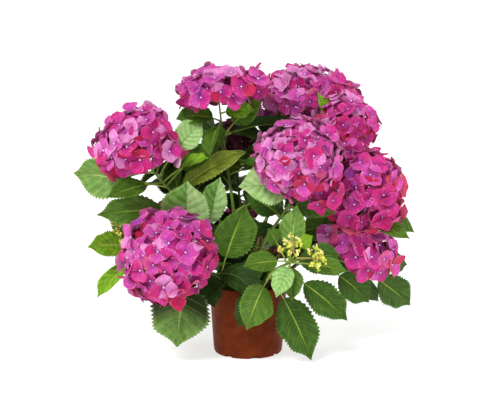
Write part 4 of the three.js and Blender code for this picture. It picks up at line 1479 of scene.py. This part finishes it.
@dataclass
class Blossom:
    """The florets, their beads and their stalks, on domes that keep to the CAD heads."""

    shoots: list[Shoot]
    shape: FloretShape = field(default_factory=FloretShape)
    sprays: dict[Petal, Sprays] = field(default_factory=dict)
    beads: Sprays = field(default_factory=lambda: Sprays("floret_beads"))
    stalks: Sprays = field(default_factory=lambda: Sprays("floret_stalks"))
    buds: dict[Tender, Sprays] = field(default_factory=dict)
    branches: Sprays = field(default_factory=lambda: Sprays("bud_branches"))
    florets: int = 0

    TUFT = {Tender.LIME: 5, Tender.YELLOW: 5, Tender.CREAM: 2, Tender.ROSE: 0.6}
    TUFT_SWAY = 54
    TUFT_FORK = 31
    TUFT_REACH = 18
    TUFT_BRANCHES = 11
    TUFT_BUDS = 7
    CORE = 0.8
    INNER_SHARE = 0.4
    INNER_RIM = 0.85
    INNER_DEPTH = -26
    SINK = (-12, 3)
    LEAN = 0.38
    SIZES = (0.84, 1.1)
    FIVE_SEPALS = 0.08
    BREADTHS = {4: 1.14, 5: 0.95}
    ONE_COLOUR = 0.6
    STEP_UP = 0.5
    BEAD_SHARE = 0.075
    STALK = (1.1, 0.7)
    STALK_BEND = 0.55
    STALK_END = 6
    RIM = 118.0
    CROWD = 2.9
    LOBE_FLAT = 0.7
    LOBE_RIM = 80.0
    BARE = 0.6
    BEHIND = 60
    # Painted light: sepals facing this light lean to pale lilacs, and those turned away to reds.
    LIGHT = unit(np.array((-0.3, -0.28, 0.92)))
    PAINTED_LIGHT_PULL = {
        Petal.CRIMSON: -6.0, Petal.CERISE: -2.4, Petal.ORCHID: 2.0, Petal.BLUSH: 3.4, Petal.FLUSHED: -1.4,
    }

    @staticmethod
    def spiral(count: int, rim: float) -> Iterator[tuple[float, float]]:
        """Directions spread evenly over a dome, as polar angle and turn in radians."""
        golden = math.pi * (3 - math.sqrt(5))
        depth = 1 - math.cos(math.radians(rim))
        for i in range(count):
            yield math.acos(1 - (i + 0.5) / count * depth), i * golden

    @staticmethod
    def frame(axis: np.ndarray) -> np.ndarray:
        """Three directions as rows, the last along an axis."""
        side = unit(np.cross(axis, UP if abs(axis[2]) < 0.9 else np.array((1.0, 0, 0))))
        return np.array((side, np.cross(axis, side), axis))

    def inside_other(self, spot: np.ndarray, own: Shoot) -> bool:
        """True where a place lies within another head."""
        return any(inside(shoot, spot) for shoot in self.shoots if shoot.flowers and shoot is not own)

    def grow_head(self, shoot: Shoot, dice: Dice) -> None:
        """Covers one head with florets and runs a stalk to each."""
        head = shoot.end
        across = head.radius * self.CORE
        count = head.cover * self.crowd(across, head.flatness, self.RIM) / head.floret**2
        spots = [(*spot, 0) for spot in self.spiral(round(count), self.RIM)]
        inner = self.spiral(round(count * self.INNER_SHARE), self.RIM * self.INNER_RIM)
        spots += [(*spot, self.INNER_DEPTH) for spot in inner]
        self.grow_dome(shoot, spots, Lobe(head.centre, head.axis, across, head.mix), head.flatness, dice)
        for lobe in head.lobes:
            count = self.crowd(lobe.radius, self.LOBE_FLAT, self.LOBE_RIM) / head.floret**2
            spots = [(*spot, 0) for spot in self.spiral(round(count), self.LOBE_RIM)]
            self.grow_dome(shoot, spots, lobe, self.LOBE_FLAT, dice)

    def crowd(self, across: float, flatness: float, rim: float) -> float:
        """How many florets of unit size cover a dome down to its rim, in degrees from its top."""
        return self.CROWD * across**2 * (1 + flatness) * (1 - math.cos(math.radians(rim)))

    def grow_dome(self, shoot: Shoot, spots: list, dome: Lobe, flatness: float, dice: Dice) -> None:
        """Sets florets on a dome and runs a stalk to each.

        Args:
            shoot: the shoot that carries the dome.
            spots: the polar angle, the turn and the depth of each floret.
            dome: the dome's middle, the way that it faces, its radius and its colours.
            flatness: its height as a share of its radius.
            dice: for the florets' places, leans and sizes.
        """
        head, mix = shoot.end, dome.mix
        rows = self.frame(unit(np.array(dome.axis, float)))
        widths = np.array((dome.radius, dome.radius, dome.radius * flatness))
        for polar, turn, sunk in spots:
            local = widths * outward(polar, turn)
            out = unit(local / widths**2)
            local = local + out * (sunk + dice.between(*self.SINK))
            lean = np.array([dice.between(-self.LEAN, self.LEAN) for _ in range(3)])
            spot = np.array(dome.centre) + local @ rows
            facing = unit((out + lean) @ rows)
            size = head.floret * dice.between(*self.SIZES)
            if self.inside_other(spot, shoot) or float(out @ rows @ np.array(head.bare)) > self.BARE:
                continue
            if spot[1] > self.BEHIND and any(opening.holds(spot[None], 0.6 * size) for opening in OPENINGS):
                continue
            # Sunken florets take the painted shade mix, which darkens the gaps between florets.
            shown = mix is MIX_SHADED or sunk == 0
            self.add_floret(spot, facing, size, mix if shown else MIX_INNER_PAINTED_SHADE, dice)
            self.add_stalk(shoot, spot, facing)

    def tint(self, mix: dict, facing: np.ndarray, dice: Dice) -> Petal:
        """A colour from a mix, picked by painted light: lilac where light falls on the sepal, and redder
        where it faces away, as a painted glow through it.
        """
        lit = float(facing @ self.LIGHT) / 2
        return dice.pick({key: share * math.exp(self.PAINTED_LIGHT_PULL.get(key, 0) * lit) for key, share in mix.items()})

    def add_floret(self, spot: np.ndarray, facing: np.ndarray, size: float, mix: dict, dice: Dice) -> None:
        """Adds a floret.

        Args:
            spot: its middle.
            facing: the way that it faces.
            size: its radius.
            mix: the colours of its head.
            dice: for its turn, its colours, its sepals and their shapes.
        """
        rows = self.frame(facing)
        sepals = 5 if dice.roll() < self.FIVE_SEPALS else 4
        spin, point = dice.between(0, FULL_TURN), dice.roll()
        own = self.tint(mix, facing, dice)
        breadth = size * self.BREADTHS[sepals] * dice.between(0.92, 1.1)
        for number in range(sepals):
            angle = spin + number * 2 * math.pi / sepals + dice.between(-0.12, 0.12)
            tilt = dice.between(-0.08, 0.12) + (0.05 if number % 2 else -0.02)
            corners = self.shape.sepal(size * dice.between(0.9, 1.06), breadth, point, dice)
            x, y, z = corners.T
            x, z = spun(x, z, tilt)
            z = z + (self.STEP_UP if number % 2 else 0.0)
            placed = np.stack((*spun(x, y, angle), z), 1) @ rows
            foot, middle, edge = placed[[self.shape.grid.foot, self.shape.middle, self.shape.edge]]
            normal = unit(np.cross(middle - foot, edge - middle))
            # Painted light: a sepal may take its own colour from the way it faces the light.
            tone = own if dice.roll() < self.ONE_COLOUR else self.tint(mix, normal, dice)
            spray = self.sprays.setdefault(tone, Sprays(tone.value.name))
            spray.add(spot + placed, self.shape.grid.faces, self.shape.grid.any_cell(dice))
        ball = size * self.BEAD_SHARE
        corners = BEAD[0] * np.array((ball, ball, ball * 0.9)) + np.array((0, 0, ball * 0.8))
        self.beads.add(spot + corners @ rows, BEAD[1], BEAD[2])
        self.florets += 1

    def add_stalk(self, shoot: Shoot, spot: np.ndarray, facing: np.ndarray) -> None:
        """Adds the thin stalk of a floret, which branches from the neck of its head."""
        root = shoot.neck
        bend = root + (spot - root) * self.STALK_BEND + shoot.axis * self.STALK_END
        line = Line(root, bend, spot - facing * self.STALK_END, spot)
        self.stalks.add(*tube(line, 0.0, 1.0, tapering(*self.STALK), 4, 5))

    def grow_buds(self, shoot: Shoot, dice: Dice) -> None:
        """Adds the tufts of unopened florets at a shoot's end: clusters of tight buds on short branches."""
        axis, neck = shoot.axis, shoot.neck
        for side in (-1, 1):
            x, y = spun(axis[0], axis[1], math.radians(self.TUFT_SWAY * side))
            way = unit(np.array((x, y, axis[2] - 0.45 * side)))
            fork = neck + way * self.TUFT_FORK
            self.branches.add(*tube(Line(neck, neck + way * 12, fork), 0, 1, tapering(1.7, 1.2), 6, 4))
            rows = self.frame(way)
            for polar, turn in self.spiral(self.TUFT_BRANCHES, 112):
                spot = fork + self.TUFT_REACH * dice.between(0.75, 1.2) * (outward(polar, turn) @ rows)
                twig = Line(fork, (fork + spot) / 2 + way * 2, spot)
                self.branches.add(*tube(twig, 0, 1, tapering(0.9, 0.6), 5, 3))
                for _ in range(self.TUFT_BUDS):
                    jitter = np.array([dice.between(-4.2, 4.2) for _ in range(3)])
                    size = dice.between(1.7, 2.9)
                    kind = dice.pick(self.TUFT)
                    spray = self.buds.setdefault(kind, Sprays(kind.value.name))
                    spray.add(spot + jitter + BEAD[0] * size * np.array((1, 1, 1.15)), BEAD[1], BEAD[2])

    def grow(self) -> None:
        """Grows every head and tuft."""
        for index, shoot in enumerate(self.shoots):
            if shoot.flowers:
                self.grow_head(shoot, Dice(Seed.HEADS, index))
            elif shoot.end.budded:
                self.grow_buds(shoot, Dice(Seed.TUFTS, index))
        LOG.info("florets: %d", self.florets)


# ---------------------------------------------------------------- studio


@dataclass
class Studio:
    """A pale floor, soft lights and the camera."""

    target: tuple[float, float, float] = (3.7, 0, 283.5)
    distance: float = 2400
    elevation: float = 9.5
    view_width: float = 915
    sensor: float = 36

    CROWN = (0, 0, 0.28)

    def build(self) -> None:
        """Sets up floor, lights, world and camera. Lamps are in metres and watts."""
        deselect_all()
        bpy.ops.mesh.primitive_plane_add(size=160, location=(0, 0, -0.0005))
        floor = bpy.context.object
        floor.name = "studio_floor"
        paper = Pattern("lit_paper", 0.9, 0.1)
        paper.set({"Base Color": 0xD4D4D4, "Emission Color": 0xFFFFFF, "Emission Strength": 0.6})
        floor.data.materials.append(paper.material)
        self.lamp("key", "SUN", (-0.42, -0.85, 1.0), (0, 0, 0), energy=2.2, angle=math.radians(20))
        self.lamp("fill", "AREA", (1.9, -1.9, 0.9), self.CROWN, energy=9, size=1.8)
        self.lamp("left_rim", "AREA", (-2.0, 0.1, 0.5), self.CROWN, energy=12, size=1.2)
        self.lamp("right_rim", "AREA", (2.0, 0.1, 0.5), self.CROWN, energy=18, size=1.2)
        world = bpy.data.worlds.new("studio_white")
        world.use_nodes = True
        world.node_tree.nodes["Background"].inputs["Color"].default_value = (1, 1, 1, 1)
        world.node_tree.nodes["Background"].inputs["Strength"].default_value = 0.5
        bpy.context.scene.world = world
        bpy.context.scene.view_settings.view_transform = "Standard"
        self.camera()

    @staticmethod
    def lamp(
        name: str, kind: str, place: tuple[float, float, float], aim: tuple[float, float, float],
        **settings: float,
    ) -> None:
        """Adds a soft lamp.

        Args:
            name: its name.
            kind: its type.
            place: where it stands.
            aim: the place that it faces.
            settings: its strength, and its size or spread.
        """
        data = bpy.data.lights.new(name, kind)
        for setting, value in settings.items():
            setattr(data, setting, value)
        lamp = bpy.data.objects.new(name, data)
        lamp.location = place
        lamp.rotation_euler = (Vector(aim) - Vector(place)).to_track_quat("-Z", "Y").to_euler()
        bpy.context.scene.collection.objects.link(lamp)

    def camera(self) -> None:
        """Adds the camera, which looks along +Y and a little down."""
        pitch = math.radians(self.elevation)
        back = np.array((0, -math.cos(pitch), math.sin(pitch))) * self.distance
        data = bpy.data.cameras.new("camera")
        data.sensor_width = self.sensor
        data.lens = self.sensor * self.distance / self.view_width
        eye = bpy.data.objects.new("camera", data)
        eye.location = (np.array(self.target) + back) * MM
        eye.rotation_euler = (math.pi / 2 - pitch, 0, 0)
        bpy.context.scene.collection.objects.link(eye)
        bpy.context.scene.camera = eye


# ---------------------------------------------------------------- putting it together


def settle(piece: bpy.types.Object, slot: str, nodes: list[str]) -> None:
    """Attaches a piece to the root body and hides the CAD nodes that it stands for.

    Args:
        piece: the finished piece.
        slot: the material slot that it takes its finish from; not used.
        nodes: the CAD nodes that it stands for.
    """
    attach(piece, "root")
    if nodes:
        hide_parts(*nodes)
    LOG.info("%s: %d triangles", piece.name, sum(len(p.vertices) - 2 for p in piece.data.polygons))


def main() -> None:
    """Builds the pot, the stems, the leaves and the blossom, then the studio."""
    logging.basicConfig(level=logging.INFO, format="%(name)s: %(message)s")
    pot = NurseryPot()
    settle(pot.build(), "pot_plastic", ["pot"])
    settle(Compost(pot).build(), "compost", ["compost"])

    stems = Stems()
    for index, shoot in enumerate(SHOOTS):
        shoot.grow(pot.compost_top + GAP)
        stems.grow_cane(shoot, Dice(Seed.CANES, index))
        stems.grow_stem(shoot)
    foliage = Foliage(SHOOTS, stems)
    foliage.grow()
    blossom = Blossom(SHOOTS)
    blossom.grow()

    canes = [f"cane_{shoot.name}" for shoot in SHOOTS]
    masses = [f"foliage_{shoot.name}" for shoot in SHOOTS]
    heads = [f"head_{shoot.name}" for shoot in SHOOTS if shoot.flowers]
    tufts = [f"buds_{shoot.name}" for shoot in SHOOTS if not shoot.flowers and shoot.end.budded]
    for pieces, slot, nodes in (
        ({Skin.BARK: stems.bark}, "cane", canes),
        ({Skin.STEM: stems.green, Skin.STALK: stems.stalks}, "leaf", []),
        (foliage.sprays, "leaf", masses),
        (blossom.sprays, "petal", heads),
        (blossom.buds, "bud", tufts),
        ({Tender.BRANCH: blossom.branches}, "bud", []),
        ({Tender.BEAD: blossom.beads}, "petal", []),
        ({Tender.STALK: blossom.stalks}, "leaf", []),
    ):
        # The first piece of a group stands for all its CAD nodes.
        for finish, spray in pieces.items():
            own_slot = "shaded_petal" if finish is Petal.SHADED else slot
            settle(spray.finish(finish.value.material()), own_slot, nodes)
            nodes = []

    Studio().build()


if __name__ == "__main__":
    main()
